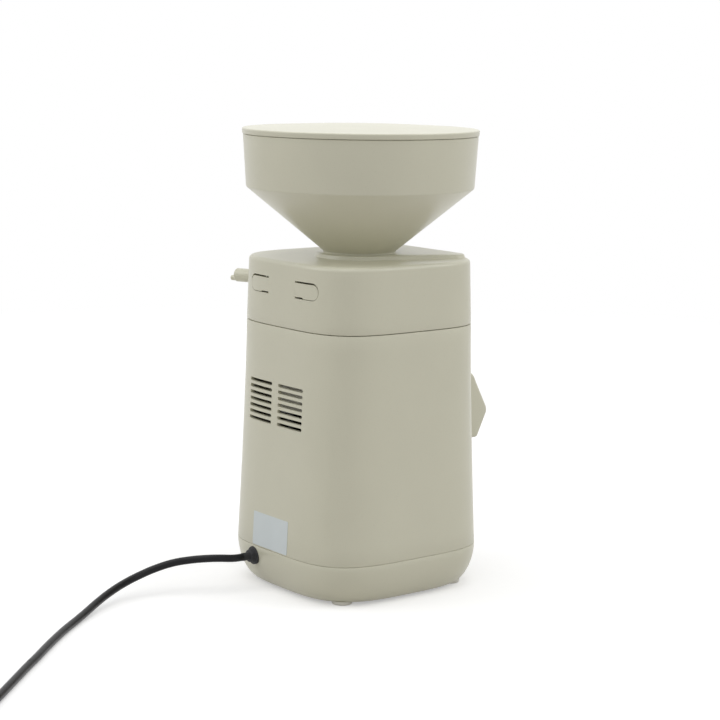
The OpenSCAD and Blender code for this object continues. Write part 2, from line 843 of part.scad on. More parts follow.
module stone_carrier() {
    top = ring_low_z + ring_h - 1;
    feed_top = neck_low_z - feed_top_gap;
    feed_top_r = neck_r - 3;
    color(pale_ivory) on_axis() {
        difference() {
            union() {
                translate([0, 0, carrier_z]) cylinder(h = carrier_t, r = carrier_r);
                translate([0, 0, carrier_z + 1]) cylinder(h = top - carrier_z - 1, r = sleeve_r);
            }
            translate([0, 0, carrier_z - 1]) cylinder(h = 100, r = stone_eye_r);
            translate([0, 0, carrier_z + carrier_t]) cylinder(h = 100, r = sleeve_r - sleeve_t);
        }
        rotate_extrude() polygon([
            [stone_eye_r, carrier_z + 1], [stone_eye_r, carrier_z + 12], [feed_top_r, feed_top],
            [feed_top_r + feed_wall, feed_top], [stone_eye_r + feed_wall, carrier_z + 12],
            [stone_eye_r + feed_wall, carrier_z + 1]
        ]);
    }
}

module stone_driver() {
    wiper_w = 3;
    wiper_root = stone_r - 16;
    wiper_reach = chamber_r - 1;
    color(pale_ivory) on_axis() difference() {
        union() {
            translate([0, 0, driver_z]) cylinder(h = driver_t, r = stone_r);
            translate([0, 0, driver_z + 1]) cylinder(h = driver_t + hub_h - 1, r = hub_r);
            for (i = [0 : 3]) rotate(90 * i)
                translate([wiper_root, -wiper_w / 2, driver_z - wiper_h])
                    cube([wiper_reach - wiper_root, wiper_w, wiper_h + driver_t]);
        }
        translate([0, 0, driver_z - 10]) cylinder(h = 60, r = shaft_r + seat_fit);
    }
}

module drive_nut() {
    color(steel) on_axis() translate([0, 0, lower_stone_z + hub_h]) difference() {
        cylinder(h = nut_h, r = nut_r, $fn = 6);
        translate([0, 0, -1]) cylinder(h = nut_h + 2, r = thread_r + seat_fit);
    }
}

// ---- Motor ----

lower_bearing_z = 27;
lower_plate_z = 30;
plate_h_motor = 5;
upper_plate_z = chamber_under_z - mount_h - 4;
upper_plate_t = 4;
upper_bearing_z = upper_plate_z - bearing_h;
tie_place = stator_half - 6;
tie_r = 2.5;
leg_r = 5;
hub_wall = 4;
stud_r = 2.5;
mount_place = 27;
mount_r = 8;
winding_h = 7;
commutator_z = 40;
commutator_h = 13;
window_in = 24;
window_out = stator_half - 6;
window_half = 31;

module at_ties() {
    for (sx = [-1, 1], sy = [-1, 1]) translate([sx * tie_place, sy * tie_place, 0]) children();
}

module at_mounts() {
    for (sx = [-1, 1], sy = [-1, 1]) translate([sx * mount_place, sy * mount_place, 0]) children();
}

module motor_shaft() {
    color(steel) on_axis() {
        shoulder_z = lower_stone_z + hub_h;
        low_z = lower_bearing_z - 2;
        translate([0, 0, low_z]) cylinder(h = shoulder_z - low_z, r = shaft_r);
        translate([0, 0, shoulder_z - 1]) cylinder(h = shaft_top_z - shoulder_z + 1, r = thread_r);
    }
}

module shaft_seal() {
    color(black) on_axis() translate([0, 0, chamber_under_z]) difference() {
        union() {
            cylinder(h = 3, r = floor_hole_r - seat_fit);
            translate([0, 0, 3]) cylinder(h = 1, r = floor_hole_r + 2);
        }
        translate([0, 0, -1]) cylinder(h = 10, r = shaft_r + running_fit);
    }
}

module armature_core() {
    slots = 12;
    slot_w = 3;
    slot_depth = 9;
    color(steel) on_axis() translate([0, 0, core_z]) linear_extrude(core_h) difference() {
        circle(armature_r);
        circle(shaft_r + seat_fit);
        for (i = [0 : slots - 1]) rotate(360 * i / slots)
            translate([armature_r - slot_depth, -slot_w / 2]) square([slot_depth + 1, slot_w]);
    }
}

module armature_winding() {
    inner = commutator_r - 2;
    outer = armature_r - 3;
    color(copper) on_axis() for (z = [core_z - winding_h, core_z + core_h]) translate([0, 0, z])
        rotate_extrude() polygon([
            [inner, 0.5], [inner + 1, 0], [outer - 2, 0], [outer, 2], [outer, winding_h - 2],
            [outer - 2, winding_h], [inner + 1, winding_h], [inner, winding_h - 0.5]
        ]);
}

module commutator() {
    bars = 24;
    slit = 0.5;
    color(copper) on_axis() translate([0, 0, commutator_z]) difference() {
        union() {
            cylinder(h = commutator_h, r = commutator_r);
            translate([0, 0, commutator_h - 2]) cylinder(h = 2, r = commutator_r + 1.5);
        }
        translate([0, 0, -1]) cylinder(h = commutator_h + 2, r = shaft_r + seat_fit);
        for (i = [0 : bars - 1]) rotate(360 * i / bars)
            translate([commutator_r - 1, -slit / 2, -1]) cube([4, slit, commutator_h + 2]);
    }
}

module cooling_fan() {
    hub = 9;
    plate = 1.6;
    blade_t = 1.6;
    z = upper_bearing_z - 13;
    height = 11;
    color(black) on_axis() translate([0, 0, z]) difference() {
        union() {
            cylinder(h = height, r = hub);
            cylinder(h = plate, r = fan_r);
            for (i = [0 : fan_blades - 1]) rotate(360 * i / fan_blades)
                translate([hub - 1, -blade_t / 2, 0]) cube([fan_r - hub, blade_t, height]);
        }
        translate([0, 0, -1]) cylinder(h = height + 2, r = shaft_r + seat_fit);
    }
}

module stator_core() {
    color(steel) on_axis() translate([0, 0, core_z]) linear_extrude(core_h) difference() {
        intersection() {
            square(2 * stator_half, center = true);
            circle(stator_half + 14);
        }
        circle(armature_r + air_gap);
        for (sx = [-1, 1]) translate([sx * (window_in + window_out) / 2, 0])
            square([window_out - window_in, 2 * window_half], center = true);
        for (sx = [-1, 1], sy = [-1, 1])
            translate([sx * tie_place, sy * tie_place]) circle(tie_r + seat_fit);
    }
}

module field_coils() {
    gap = 0.2;
    inner_x = window_in + gap;
    outer_x = window_out - 2;
    near_y = armature_r + air_gap + 1;
    depth = window_half - gap - near_y;
    color(copper) on_axis() for (sy = [-1, 1]) {
        y0 = sy > 0 ? near_y : -near_y - depth;
        difference() {
            translate([-outer_x, y0, core_z - winding_h])
                cube([2 * outer_x, depth, core_h + 2 * winding_h]);
            translate([-inner_x, y0 - 1, core_z - gap])
                cube([2 * inner_x, depth + 2, core_h + 2 * gap]);
        }
    }
}

module bearing_ring() {
    groove = 0.8;
    difference() {
        cylinder(h = bearing_h, r = bearing_r);
        translate([0, 0, -1]) cylinder(h = bearing_h + 2, r = shaft_r + running_fit);
        for (z = [-1, bearing_h - groove]) translate([0, 0, z]) difference() {
            cylinder(h = 1 + groove - (z < 0 ? 0 : groove - 0.2), r = bearing_r - 2.5);
            translate([0, 0, -1]) cylinder(h = 5, r = shaft_r + 2.5);
        }
    }
}

module upper_bearing() {
    color(steel) on_axis() translate([0, 0, upper_bearing_z]) bearing_ring();
}

module lower_bearing() {
    color(steel) on_axis() translate([0, 0, lower_bearing_z]) bearing_ring();
}

// Cross of two bars that carries a bearing, with an eye at each tie
module bracket_plate(z, thickness) {
    bar_w = 20;
    bar_l = 2 * tie_place * sqrt(2) - 8;
    eye_r = 11.5;
    translate([0, 0, z]) linear_extrude(thickness) {
        for (a = [45, -45]) rotate(a) square([bar_l, bar_w], center = true);
        at_ties() circle(eye_r);
    }
}

module upper_bracket() {
    color(steel) on_axis() difference() {
        union() {
            bracket_plate(upper_plate_z, upper_plate_t);
            translate([0, 0, upper_bearing_z]) cylinder(h = bearing_h + 1, r = bearing_r + hub_wall);
            at_ties() translate([0, 0, core_z + core_h])
                cylinder(h = upper_plate_z - core_z - core_h + 1, r = leg_r);
        }
        translate([0, 0, upper_bearing_z - 1]) cylinder(h = bearing_h + 1, r = bearing_r + seat_fit);
        cylinder(h = 300, r = shaft_r + 1);
        at_ties() cylinder(h = 300, r = tie_r + seat_fit);
        at_mounts() cylinder(h = 300, r = stud_r + seat_fit);
    }
}

module lower_bracket() {
    color(steel) on_axis() difference() {
        union() {
            bracket_plate(lower_plate_z, plate_h_motor);
            translate([0, 0, lower_bearing_z - 1]) cylinder(h = bearing_h + 1, r = bearing_r + hub_wall);
            at_ties() translate([0, 0, lower_plate_z]) cylinder(h = core_z - lower_plate_z, r = leg_r);
        }
        translate([0, 0, lower_bearing_z]) cylinder(h = bearing_h + 1, r = bearing_r + seat_fit);
        translate([0, 0, lower_bearing_z - 5]) cylinder(h = 20, r = shaft_r + 1);
        at_ties() cylinder(h = 300, r = tie_r + seat_fit);
    }
}

brush_z = commutator_z + commutator_h / 2 - 1;
brush_w = 7;
brush_h = 6.4;
brush_case_t = 1.6;
brush_l = 20;

module at_brushes() {
    for (a = [0, 180]) rotate(a) children();
}

brush_case_l = 22;
brush_end_y = commutator_r + 2.4 + brush_case_l;

module brush_holders() {
    case_l = brush_case_l;
    case_w = brush_w + 2 * brush_case_t;
    case_h = brush_h + 2 * brush_case_t;
    first = brush_end_y - brush_case_l;
    color(black) on_axis() at_brushes() difference() {
        union() {
            translate([-case_w / 2, first, brush_z - case_h / 2]) cube([case_w, case_l, case_h]);
            translate([-case_w / 2, bearing_r + hub_wall - 6, lower_plate_z + plate_h_motor])
                cube([case_w, 16, brush_z - lower_plate_z - plate_h_motor]);
        }
        translate([-brush_w / 2 - 0.1, 0, brush_z - brush_h / 2 - 0.1])
            cube([brush_w + 0.2, first + case_l - brush_case_t, brush_h + 0.2]);
    }
}

module carbon_brushes() {
    first = commutator_r + play;
    color(black) on_axis() at_brushes()
        translate([-brush_w / 2, first, brush_z - brush_h / 2]) cube([brush_w, brush_l, brush_h]);
}

module motor_screws() {
    color(steel) on_axis() at_ties() {
        translate([0, 0, lower_plate_z - 3]) cylinder(h = 3, r = tie_r + 2, $fn = 6);
        translate([0, 0, lower_plate_z - 1])
            cylinder(h = upper_plate_z + upper_plate_t - lower_plate_z - 1, r = tie_r);
    }
}

module motor_mounts() {
    color(black) on_axis() at_mounts() {
        translate([0, 0, upper_plate_z + upper_plate_t]) cylinder(h = mount_h, r = mount_r);
        translate([0, 0, upper_plate_z]) cylinder(h = mount_h + upper_plate_t + 1.9, r = stud_r);
    }
}

module thermal_cutout() {
    color(black) on_axis() translate([stator_half, -5, core_z + core_h / 2 - 8]) {
        cube([4, 10, 16]);
        translate([4, 5, 8]) rotate([0, 90, 0]) cylinder(h = 1.5, r = 3.5);
    }
}

// ---- Switch ----

switch_bezel_t = 2;
switch_face_x = half_x(switch_z + switch_l / 2) + 0.8;
switch_depth = 15;
switch_back_x = switch_face_x - switch_bezel_t - switch_depth;
pin_l = 6;
pin_w = 4.8;
pin_t = 0.8;
pin_pitch = 6;
rocker_gap = 0.3;
rocker_r = 7.5;
rocker_pin_r = 1;
rocker_x = switch_face_x - 3;
rocker_half_l = switch_l / 2 - 1.8;
rocker_half_w = switch_w / 2 - 1.8;

module switch_body() {
    color(black) on_axis() difference() {
        union() {
            translate([switch_face_x - switch_bezel_t, -switch_w / 2, switch_z - switch_l / 2])
                cube([switch_bezel_t, switch_w, switch_l]);
            translate([switch_back_x, -switch_w / 2 + 1.1, switch_z - switch_l / 2 + 1.1])
                cube([switch_depth + 0.5, switch_w - 2.2, switch_l - 2.2]);
            for (i = [-1, 0, 1])
                translate([switch_back_x - pin_l, -pin_w / 2, switch_z + i * pin_pitch - pin_t / 2])
                    cube([pin_l + 1, pin_w, pin_t]);
        }
        translate([switch_face_x - 8.5, -rocker_half_w - rocker_gap, switch_z - rocker_half_l - rocker_gap])
            cube([20, 2 * (rocker_half_w + rocker_gap), 2 * (rocker_half_l + rocker_gap)]);
        translate([rocker_x, 0, switch_z]) rotate([90, 0, 0])
            cylinder(h = switch_w - 2.4, r = rocker_pin_r + running_fit, center = true);
    }
}

module switch_rocker() {
    color(black) on_axis() translate([rocker_x, 0, switch_z]) rotate([0, -rocker_throw / 2, 0]) {
        rotate([90, 0, 0]) linear_extrude(2 * rocker_half_w, center = true) polygon([
            [-3.2, -3], [-3.2, 3], [1.6, rocker_half_l - 0.9], [3.6, rocker_half_l - 0.6],
            [2.6, 0], [3.6, -rocker_half_l + 0.6], [1.6, -rocker_half_l + 0.9]
        ]);
        rotate([90, 0, 0]) cylinder(h = switch_w - 2.8, r = rocker_pin_r, center = true);
    }
}

// ---- Electrical parts in the base ----

block_y = 34;
block_size = [32, 16, 12];
block_room = 3;       // space between the block and a screw boss of the base
block_x = post_x - boss_r - block_room - block_size[0];
block_first = 6;
block_pitch = 10;
block_hole_z = 6;
clamp_y = 60.5;
clamp_w = 24;
clamp_l = 7;
clamp_screw_place = 8;
clamp_screw_r = 1.5;
bridge_t = 2.5;
lead_r = 1.1;

module terminal_block() {
    color(pale_ivory) on_axis() translate([block_x, block_y - block_size[1] / 2, base_floor_z])
        difference() {
            cube(block_size);
            for (i = [0 : 2]) translate([block_first + block_pitch * i, 0, block_hole_z]) {
                translate([0, -1, 0]) rotate([-90, 0, 0])
                    cylinder(h = block_size[1] + 2, r = lead_r + 0.3);
                translate([0, block_size[1] / 2, 0]) cylinder(h = 10, r = 1.8);
            }
        }
}

module cord_clamp() {
    color(pale_ivory) on_axis() difference() {
        union() {
            translate([gland_x - clamp_w / 2, clamp_y - clamp_l / 2, base_floor_z])
                cube([clamp_w, clamp_l, gland_z - base_floor_z]);
            translate([gland_x - clamp_w / 2, clamp_y - clamp_l / 2, gland_z])
                cube([clamp_w, clamp_l, cord_r + bridge_t]);
        }
        translate([gland_x, clamp_y - clamp_l, gland_z]) rotate([-90, 0, 0])
            cylinder(h = 3 * clamp_l, r = cord_r + seat_fit);
        for (sx = [-1, 1]) translate([gland_x + sx * clamp_screw_place, clamp_y, gland_z - 8])
            cylinder(h = 20, r = clamp_screw_r + seat_fit);
    }
}

module clamp_screws() {
    bridge_top = cord_r + bridge_t;
    color(steel) on_axis() for (sx = [-1, 1])
        translate([gland_x + sx * clamp_screw_place, clamp_y, gland_z]) {
            translate([0, 0, bridge_top]) cylinder(h = 2, r = 2.8);
            translate([0, 0, -7]) cylinder(h = bridge_top + 8, r = clamp_screw_r);
        }
}

// ---- Cord ----

gland_neck_r = 5.2;
gland_inner_y = 66;
gland_flange_t = 2.6;
gland_tip_r = cord_r + 0.7;
gland_seat_y = back_y(gland_x, gland_z) - 1.5;
gland_face_y = gland_seat_y + gland_flange_t;
gland_tip_y = 92;

module cord_gland() {
    color(black) on_axis() translate([gland_x, 0, gland_z]) rotate([-90, 0, 0]) difference() {
        rotate_extrude() polygon([
            [0, gland_inner_y],
            [gland_neck_r, gland_inner_y],
            [gland_neck_r, gland_seat_y],
            [gland_flange_r, gland_seat_y],
            [gland_flange_r, gland_face_y - 0.8],
            [gland_flange_r - 1.2, gland_face_y],
            [gland_neck_r, gland_face_y],
            [gland_tip_r, gland_tip_y],
            [0, gland_tip_y]
        ]);
        translate([0, 0, gland_inner_y - 1])
            cylinder(h = gland_seat_y - gland_inner_y, r = cord_r + seat_fit);
    }
}

// Tube along points, with flat ends square to the first and last step
function unit(v) = v / norm(v);
function heading(p, i) =
    i == 0 ? unit(p[1] - p[0]) :
    i == len(p) - 1 ? unit(p[i] - p[i - 1]) : unit(unit(p[i + 1] - p[i]) + unit(p[i] - p[i - 1]));
function tube_ring(centre, along, radius, sides) =
    let (side = unit(cross(along, [0, 0, 1])), up = cross(along, side))
    [for (k = [0 : sides - 1]) centre + radius * (cos(360 * k / sides) * side + sin(360 * k / sides) * up)];

module tube(points, radius, sides) {
    skin([for (i = [0 : len(points) - 1]) tube_ring(points[i], heading(points, i), radius, sides)]);
}

function path_length(p) =
    let (steps = [for (i = [1 : len(p) - 1]) norm(p[i] - p[i - 1])])
    steps * [for (step = steps) 1];

// Route of the cord over the table, from the gland to the coil
cord_exit = [gland_x + mill_x, gland_tip_y + mill_y, gland_z];
cord_points = [
    cord_exit, cord_exit + [0, 3, 0],
    [18.9, 111, 24.6], [21.9, 120, 25.4], [27, 131, 25.6], [33.6, 142, 24.6],
    [40.6, 152, 22.4], [45.6, 164, 19], [46.8, 178, 15.4], [43.8, 195, 11.8], [37, 212, 8.6],
    [27.6, 228, 6], [15.8, 244, 4.2], [3.4, 260, 3.2], [-9, 275, 3], [-23.6, 291, 3],
    [-39, 307, 3], [-55, 323, 3], [-70.4, 339, 3], [-85.4, 354, 3], [-100.4, 369, 3],
    [-115.4, 384, 3], [-129, 398, 3.1], [-141, 411, 3.5], [-151, 423, 3.9]
];
coil_centre = [-130, 462];
coil_start_angle = 217.7;
coil_r = 41;
coil_turns = 5;
coil_step = 6.6;
coil_low_z = cord_r + 1;
rings_per_turn = 24;
tail_l = 42;
plug_r = 18.4;
plug_z = plug_r + 0.2;
tail_steps = 7;

coil_way = [sin(coil_start_angle), -cos(coil_start_angle), 0];

function smooth(t) = let (s = min(1, max(0, t))) s * s * (3 - 2 * s);
function coil_point(t) =
    let (
        half = coil_turns / 2,
        r = coil_r - coil_step * (t < half ? t : coil_turns - t),
        a = coil_start_angle - 360 * t
    )
    [coil_centre[0] + r * cos(a), coil_centre[1] + r * sin(a),
     coil_low_z + coil_step * smooth((t - half + 0.25) / 0.5)];

coil_loops = [for (i = [0 : coil_turns * rings_per_turn]) coil_point(i / rings_per_turn)];
coil_end = coil_loops[len(coil_loops) - 1];
coil_lead = coil_loops[0] - 2 * cord_r * coil_way;
coil_tail = [
    for (i = [1 : tail_steps])
        coil_end + coil_way * tail_l * i / tail_steps
        + [0, 0, (plug_z - coil_end[2]) * smooth(i / (tail_steps - 1))]
];
coil_points = concat([coil_lead], coil_loops, coil_tail);
cord_route = concat(cord_points, [coil_lead - 4 * coil_way, coil_lead]);
coil_gap = min([
    for (i = [0 : len(coil_points) - 1], j = [i + 8 : 1 : len(coil_points) - 1])
        norm(coil_points[i] - coil_points[j])
]) - 2 * cord_r;
echo(coil_least_gap = coil_gap);
echo(cord_length = path_length(cord_route) + path_length(coil_points));

module mains_cord() {
    color(black) tube(cord_route, cord_r, 8);
}

module cord_coil() {
    color(black) tube(coil_points, cord_r, 6);
}

module cord_tie() {
    tie_t = 0.8;
    tie_w = 7;
    room = 0.3;
    low_r = coil_r - coil_step * coil_turns / 2 - cord_r - room;
    high_r = coil_r + cord_r + room;
    high = coil_low_z + coil_step + cord_r + room;
    low = coil_low_z - cord_r - 0.1;
    room_size = [high_r - low_r, high - low];
    color(black) translate([coil_centre[0], coil_centre[1], 0]) rotate(coil_start_angle - 200)
        rotate([90, 0, 0]) linear_extrude(tie_w, center = true) difference() {
            translate([low_r - tie_t, low - tie_t]) square(room_size + [2 * tie_t, 2 * tie_t]);
            translate([low_r, low]) square(room_size);
        }
}

module mains_plug() {
    sleeve_end_r = cord_r + 1.2;
    body_l = 17;
    grip_l = 22;
    prong_r = 2.4;
    prong_l = 19;
    prong_gap = 19;
    end = coil_points[len(coil_points) - 1];
    color(black) translate(end) rotate(coil_start_angle - 90) rotate([0, 90, 0]) {
        rotate_extrude() polygon([
            [0, 0], [sleeve_end_r, 0],
            [sleeve_end_r + 3, grip_l * 0.5], [sleeve_end_r + 6, grip_l * 0.75],
            [plug_r - 1.5, grip_l], [plug_r, grip_l + 1.5], [plug_r, grip_l + body_l - 1],
            [plug_r - 1, grip_l + body_l], [0, grip_l + body_l]
        ]);
        for (sy = [-1, 1]) translate([0, sy * prong_gap / 2, grip_l + body_l - 1])
            cylinder(h = prong_l + 1, r = prong_r);
    }
}

// Inner end of the cord, and the leads to the terminal block, the switch and the motor
inner_cord = [
    [gland_x, gland_seat_y - 3, gland_z], [gland_x, 70, gland_z], [gland_x, 57, gland_z],
    [gland_x - 0.3, 52, 22.6], [gland_x - 0.8, 48.4, 19.6]
];
block_hole_x = [for (i = [0 : 2]) block_x + block_first + block_pitch * i];
lead_z = base_floor_z + block_hole_z;
live_lead = [
    [gland_x - 0.7, 49.6, 20.6], [gland_x - 1.4, 47, 17.6], [block_hole_x[0] + 0.1, 45, 14.4],
    [block_hole_x[0], 43, lead_z + 0.4],
    [block_hole_x[0], 41, lead_z], [block_hole_x[0], 37, lead_z]
];
neutral_lead = [
    [gland_x, 49.8, 20.4], [gland_x + 5, 48.6, 17.4], [block_hole_x[2] - 7, 47.6, 14.6],
    [block_hole_x[2] - 2, 46.4, 12.6], [block_hole_x[2], 44, lead_z],
    [block_hole_x[2], 41, lead_z], [block_hole_x[2], 37, lead_z]
];
switch_lead = [
    [block_hole_x[1], 29, lead_z], [block_hole_x[1], 24, lead_z],
    [block_hole_x[1] + 1.4, 20.6, 13.4], [block_hole_x[1] + 7, 16, 20],
    [switch_back_x - 9, 11, 32], [switch_back_x - 4, 6, 46], [switch_back_x - 3, 2.6, 58],
    [switch_back_x - 3, 0.6, 64],
    [switch_back_x - 3, 0, switch_z - pin_pitch - pin_t / 2 - seat_fit]
];
motor_lead = [
    [block_hole_x[2], 29, lead_z], [block_hole_x[2], 24, lead_z], [block_hole_x[2] - 2, 18, 13],
    [block_hole_x[1] + 1, 13.6, 16.6],
    [27, 17, 20], [17, 26, 21.6], [9, 35, 24], [5, 40, 30], [2, 42.6, 37], [0, 42, 43], [0, 39.4, 45.4],
    [0, brush_end_y + seat_fit, 45.4]
];

module internal_wiring() {
    color(black) on_axis() {
        tube(inner_cord, cord_r, 8);
        for (lead = [live_lead, neutral_lead, switch_lead, motor_lead]) tube(lead, lead_r, 6);
    }
}

base_shell();
feet();
base_screws();
main_housing();
rating_plate();
upper_housing();
latch_tongue_left();
latch_tongue_right();
hopper();
hopper_lid();
flour_spout();
milling_chamber();
chamber_seal();
chamber_screws();
adjuster_housing();
adjuster_screws();
adjusting_ring();
adjusting_lever();
stone_carrier();
upper_stone();
lower_stone();
stone_driver();
drive_nut();
motor_shaft();
shaft_seal();
armature_core();
armature_winding();
commutator();
cooling_fan();
stator_core();
field_coils();
upper_bracket();
lower_bracket();
upper_bearing();
lower_bearing();
brush_holders();
carbon_brushes();
motor_screws();
motor_mounts();
thermal_cutout();
switch_body();
switch_rocker();
terminal_block();
internal_wiring();
cord_clamp();
clamp_screws();
cord_gland();
mains_cord();
cord_coil();
cord_tie();
mains_plug();
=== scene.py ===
"""Electric grain mill: its outer shells, hopper, spout, lever, feet, switch and cord as finished
meshes, and the materials of every part. Sizes are in metres and +Z is up."""

import json
import math
from functools import reduce

import bmesh
import bpy
from bpy.props import FloatProperty, FloatVectorProperty, IntProperty, PointerProperty
from mathutils import Matrix, Vector


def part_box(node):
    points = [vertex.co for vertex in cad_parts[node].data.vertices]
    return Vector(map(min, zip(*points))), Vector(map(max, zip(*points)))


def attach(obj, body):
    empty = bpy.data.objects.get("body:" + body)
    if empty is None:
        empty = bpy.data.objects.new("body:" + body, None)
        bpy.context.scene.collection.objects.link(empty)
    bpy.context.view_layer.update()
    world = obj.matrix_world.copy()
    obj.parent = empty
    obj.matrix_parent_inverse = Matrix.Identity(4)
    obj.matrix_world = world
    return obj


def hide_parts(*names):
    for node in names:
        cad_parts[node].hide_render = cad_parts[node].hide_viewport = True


bl_info = {
    "name": "Electric grain mill",
    "version": (1, 0, 0),
    "blender": (4, 5, 0),
    "location": "View3D > Sidebar > Grain mill",
    "description": "Models the outside of a household grain mill and finishes all its parts",
    "category": "Object",
}

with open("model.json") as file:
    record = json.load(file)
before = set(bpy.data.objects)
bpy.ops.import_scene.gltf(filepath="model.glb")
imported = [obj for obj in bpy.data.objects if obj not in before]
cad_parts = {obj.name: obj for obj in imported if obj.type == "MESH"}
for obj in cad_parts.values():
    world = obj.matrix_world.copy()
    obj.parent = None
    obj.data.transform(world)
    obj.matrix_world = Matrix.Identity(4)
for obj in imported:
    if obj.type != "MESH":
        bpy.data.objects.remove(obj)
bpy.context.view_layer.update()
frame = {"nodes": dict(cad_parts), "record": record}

# ---- Places that the frame gives ----

NODE_BODY = {
    node: body for body, nodes in frame["record"]["behaviour"]["bodies"].items() for node in nodes}
NODE_SLOT = {part["node"]: part["material_slot"] for part in frame["record"]["subparts"]}


def box_corners(node):
    """The low and the high corner of a node's box"""
    return (Vector(corner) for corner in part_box(node))


HOPPER_LOW, HOPPER_HIGH = box_corners("hopper")
BASE_LOW, BASE_HIGH = box_corners("base_shell")
MAIN_LOW, MAIN_HIGH = box_corners("main_housing")
UPPER_LOW, UPPER_HIGH = box_corners("upper_housing")
LID_LOW, LID_HIGH = box_corners("hopper_lid")
SPOUT_LOW, SPOUT_HIGH = box_corners("flour_spout")
GLAND_LOW, GLAND_HIGH = box_corners("cord_gland")
SWITCH_LOW, SWITCH_HIGH = box_corners("switch_body")
PLATE_LOW, PLATE_HIGH = box_corners("rating_plate")
_, FEET_HIGH = box_corners("feet")

AXIS = Vector(((HOPPER_LOW.x + HOPPER_HIGH.x) / 2, (HOPPER_LOW.y + HOPPER_HIGH.y) / 2, 0))
HALF_X_BASE = (BASE_HIGH.x - BASE_LOW.x) / 2
HALF_Y_BASE = (BASE_HIGH.y - BASE_LOW.y) / 2
HALF_X_TOP = (UPPER_HIGH.x - UPPER_LOW.x) / 2
HALF_Y_TOP = (UPPER_HIGH.y - UPPER_LOW.y) / 2


# ---- Sizes and colours that a user may change ----

def length_prop(name, description, default):
    """A length that a user may change"""
    return FloatProperty(name=name, description=description, default=default, unit="LENGTH")


def power_prop(name, description, default):
    """A power that a user may change, which bends an outline"""
    return FloatProperty(name=name, description=description, default=default)


def colour_prop(name, description, default):
    """A colour that a user may change"""
    return FloatVectorProperty(
        name=name, description=description, subtype="COLOR", size=3, default=default)


class MillHousingSizes(bpy.types.PropertyGroup):
    """Sizes of the moulded housing"""

    wall: length_prop("Wall", "Thickness of the moulded walls", 0.003)
    seam_gap: length_prop("Seam gap", "Height of the dark line between two shells", 0.0006)
    seam_round: length_prop("Seam rounding", "Rounding of the edges at the seams", 0.0004)
    corner_power: power_prop("Squareness", "Power of the plan outline, 2 is an ellipse", 3.85)
    base_power: power_prop("Squareness at the bottom", "Power of the base shell's bottom edge", 3.3)
    base_tuck: length_prop("Base tuck", "How far the base rounds in at its bottom edge", 0.0115)
    flare_power: power_prop("Flare", "How late the sides flare out on the way down", 1.35)
    draft_x: length_prop("Side draft", "How far each side leans in by the roof", 0.0024)
    draft_y: length_prop("Front draft", "How far front and back lean in by the roof", 0.0008)
    roof_edge: length_prop("Roof edge", "Rounding between the roof and the sides", 0.0035)
    panel_h: length_prop("Raised panel", "Height of the panel that the hopper stands on", 0.003)


class MillDetailSizes(bpy.types.PropertyGroup):
    """Sizes of the vents, latches, lever and plate"""

    vent_count: IntProperty(
        name="Vent slots", description="Number of slots in each column", default=7, min=1)
    vent_pitch: length_prop("Vent pitch", "Distance from one slot to the next", 0.00505)
    vent_h: length_prop("Slot height", "Height of a vent slot", 0.0027)
    vent_w: length_prop("Slot length", "Length of a vent slot", 0.0316)
    vent_bar: length_prop("Vent bar", "Bar between the two columns", 0.0082)
    latch_slit: length_prop("Latch slit", "Width of the slit over a latch tongue", 0.0014)
    latch_line: length_prop("Latch line", "Gap round the tip of a latch tongue", 0.0005)
    lever_angle: FloatProperty(
        name="Lever angle", description="Direction of the lever at the finest setting",
        default=math.radians(23), subtype="ANGLE")
    film: length_prop("Plate film", "Thickness of the rating plate's film", 0.00025)


class MillColours(bpy.types.PropertyGroup):
    """Colours of the mill's finishes"""

    ivory: colour_prop("Ivory", "Moulded shells", (0.675, 0.662, 0.535))
    milky: colour_prop("Milky", "Inner mouldings and feet", (0.76, 0.745, 0.68))
    film: colour_prop("Film", "Blank rating plate", (0.69, 0.75, 0.77))
    black: colour_prop("Black", "Cord, gland, plug and switch", (0.010, 0.010, 0.012))
    floor: colour_prop("Floor", "Floor under the mill", (0.62, 0.60, 0.56))


# ---- Selecting and starting a mesh ----

TOUCH = 1e-6   # points closer than this are one
NEAR = 1e-5    # the same, where points come from bevels and long paths


def clear_selection():
    """Deselects every object, so that an operator acts on the new one alone"""
    for obj in bpy.context.selected_objects:
        obj.select_set(False)
    bpy.context.view_layer.objects.active = None


def make_active(obj):
    """Selects one object alone"""
    clear_selection()
    obj.select_set(True)
    bpy.context.view_layer.objects.active = obj


def start(name):
    """Names the primitive that was just added and goes into its edit mode"""
    obj = bpy.context.object
    obj.name = name
    obj.data.name = name
    bpy.ops.object.mode_set(mode="EDIT")
    bpy.ops.mesh.select_all(action="SELECT")
    return obj


def empty_mesh(name):
    """Starts a mesh with nothing in it, in edit mode"""
    clear_selection()
    bpy.ops.mesh.primitive_plane_add(size=2)
    obj = start(name)
    bpy.ops.mesh.delete(type="VERT")
    return obj


def placed(name):
    """Names the primitive that was just added and puts its place into its mesh"""
    obj = bpy.context.object
    obj.name = name
    bpy.ops.object.transform_apply(location=True, rotation=True, scale=True)
    return obj


def pick(kind, test):
    """Selects the edited mesh's vertices, edges or faces that pass a test"""
    mesh = bpy.context.edit_object.data
    bpy.ops.mesh.select_mode(type=kind)
    bpy.ops.mesh.select_all(action="DESELECT")
    edited = bmesh.from_edit_mesh(mesh)
    for part in {"VERT": edited.verts, "EDGE": edited.edges, "FACE": edited.faces}[kind]:
        if test(part):
            part.select_set(True)
    edited.select_flush_mode()
    bmesh.update_edit_mesh(mesh)


def close_mesh(merge=TOUCH):
    """Merges doubles, turns all faces outwards and leaves edit mode"""
    bpy.ops.mesh.select_mode(type="VERT")
    bpy.ops.mesh.select_all(action="SELECT")
    bpy.ops.mesh.remove_doubles(threshold=merge)
    bpy.ops.mesh.normals_make_consistent(inside=False)
    bpy.ops.object.mode_set(mode="OBJECT")


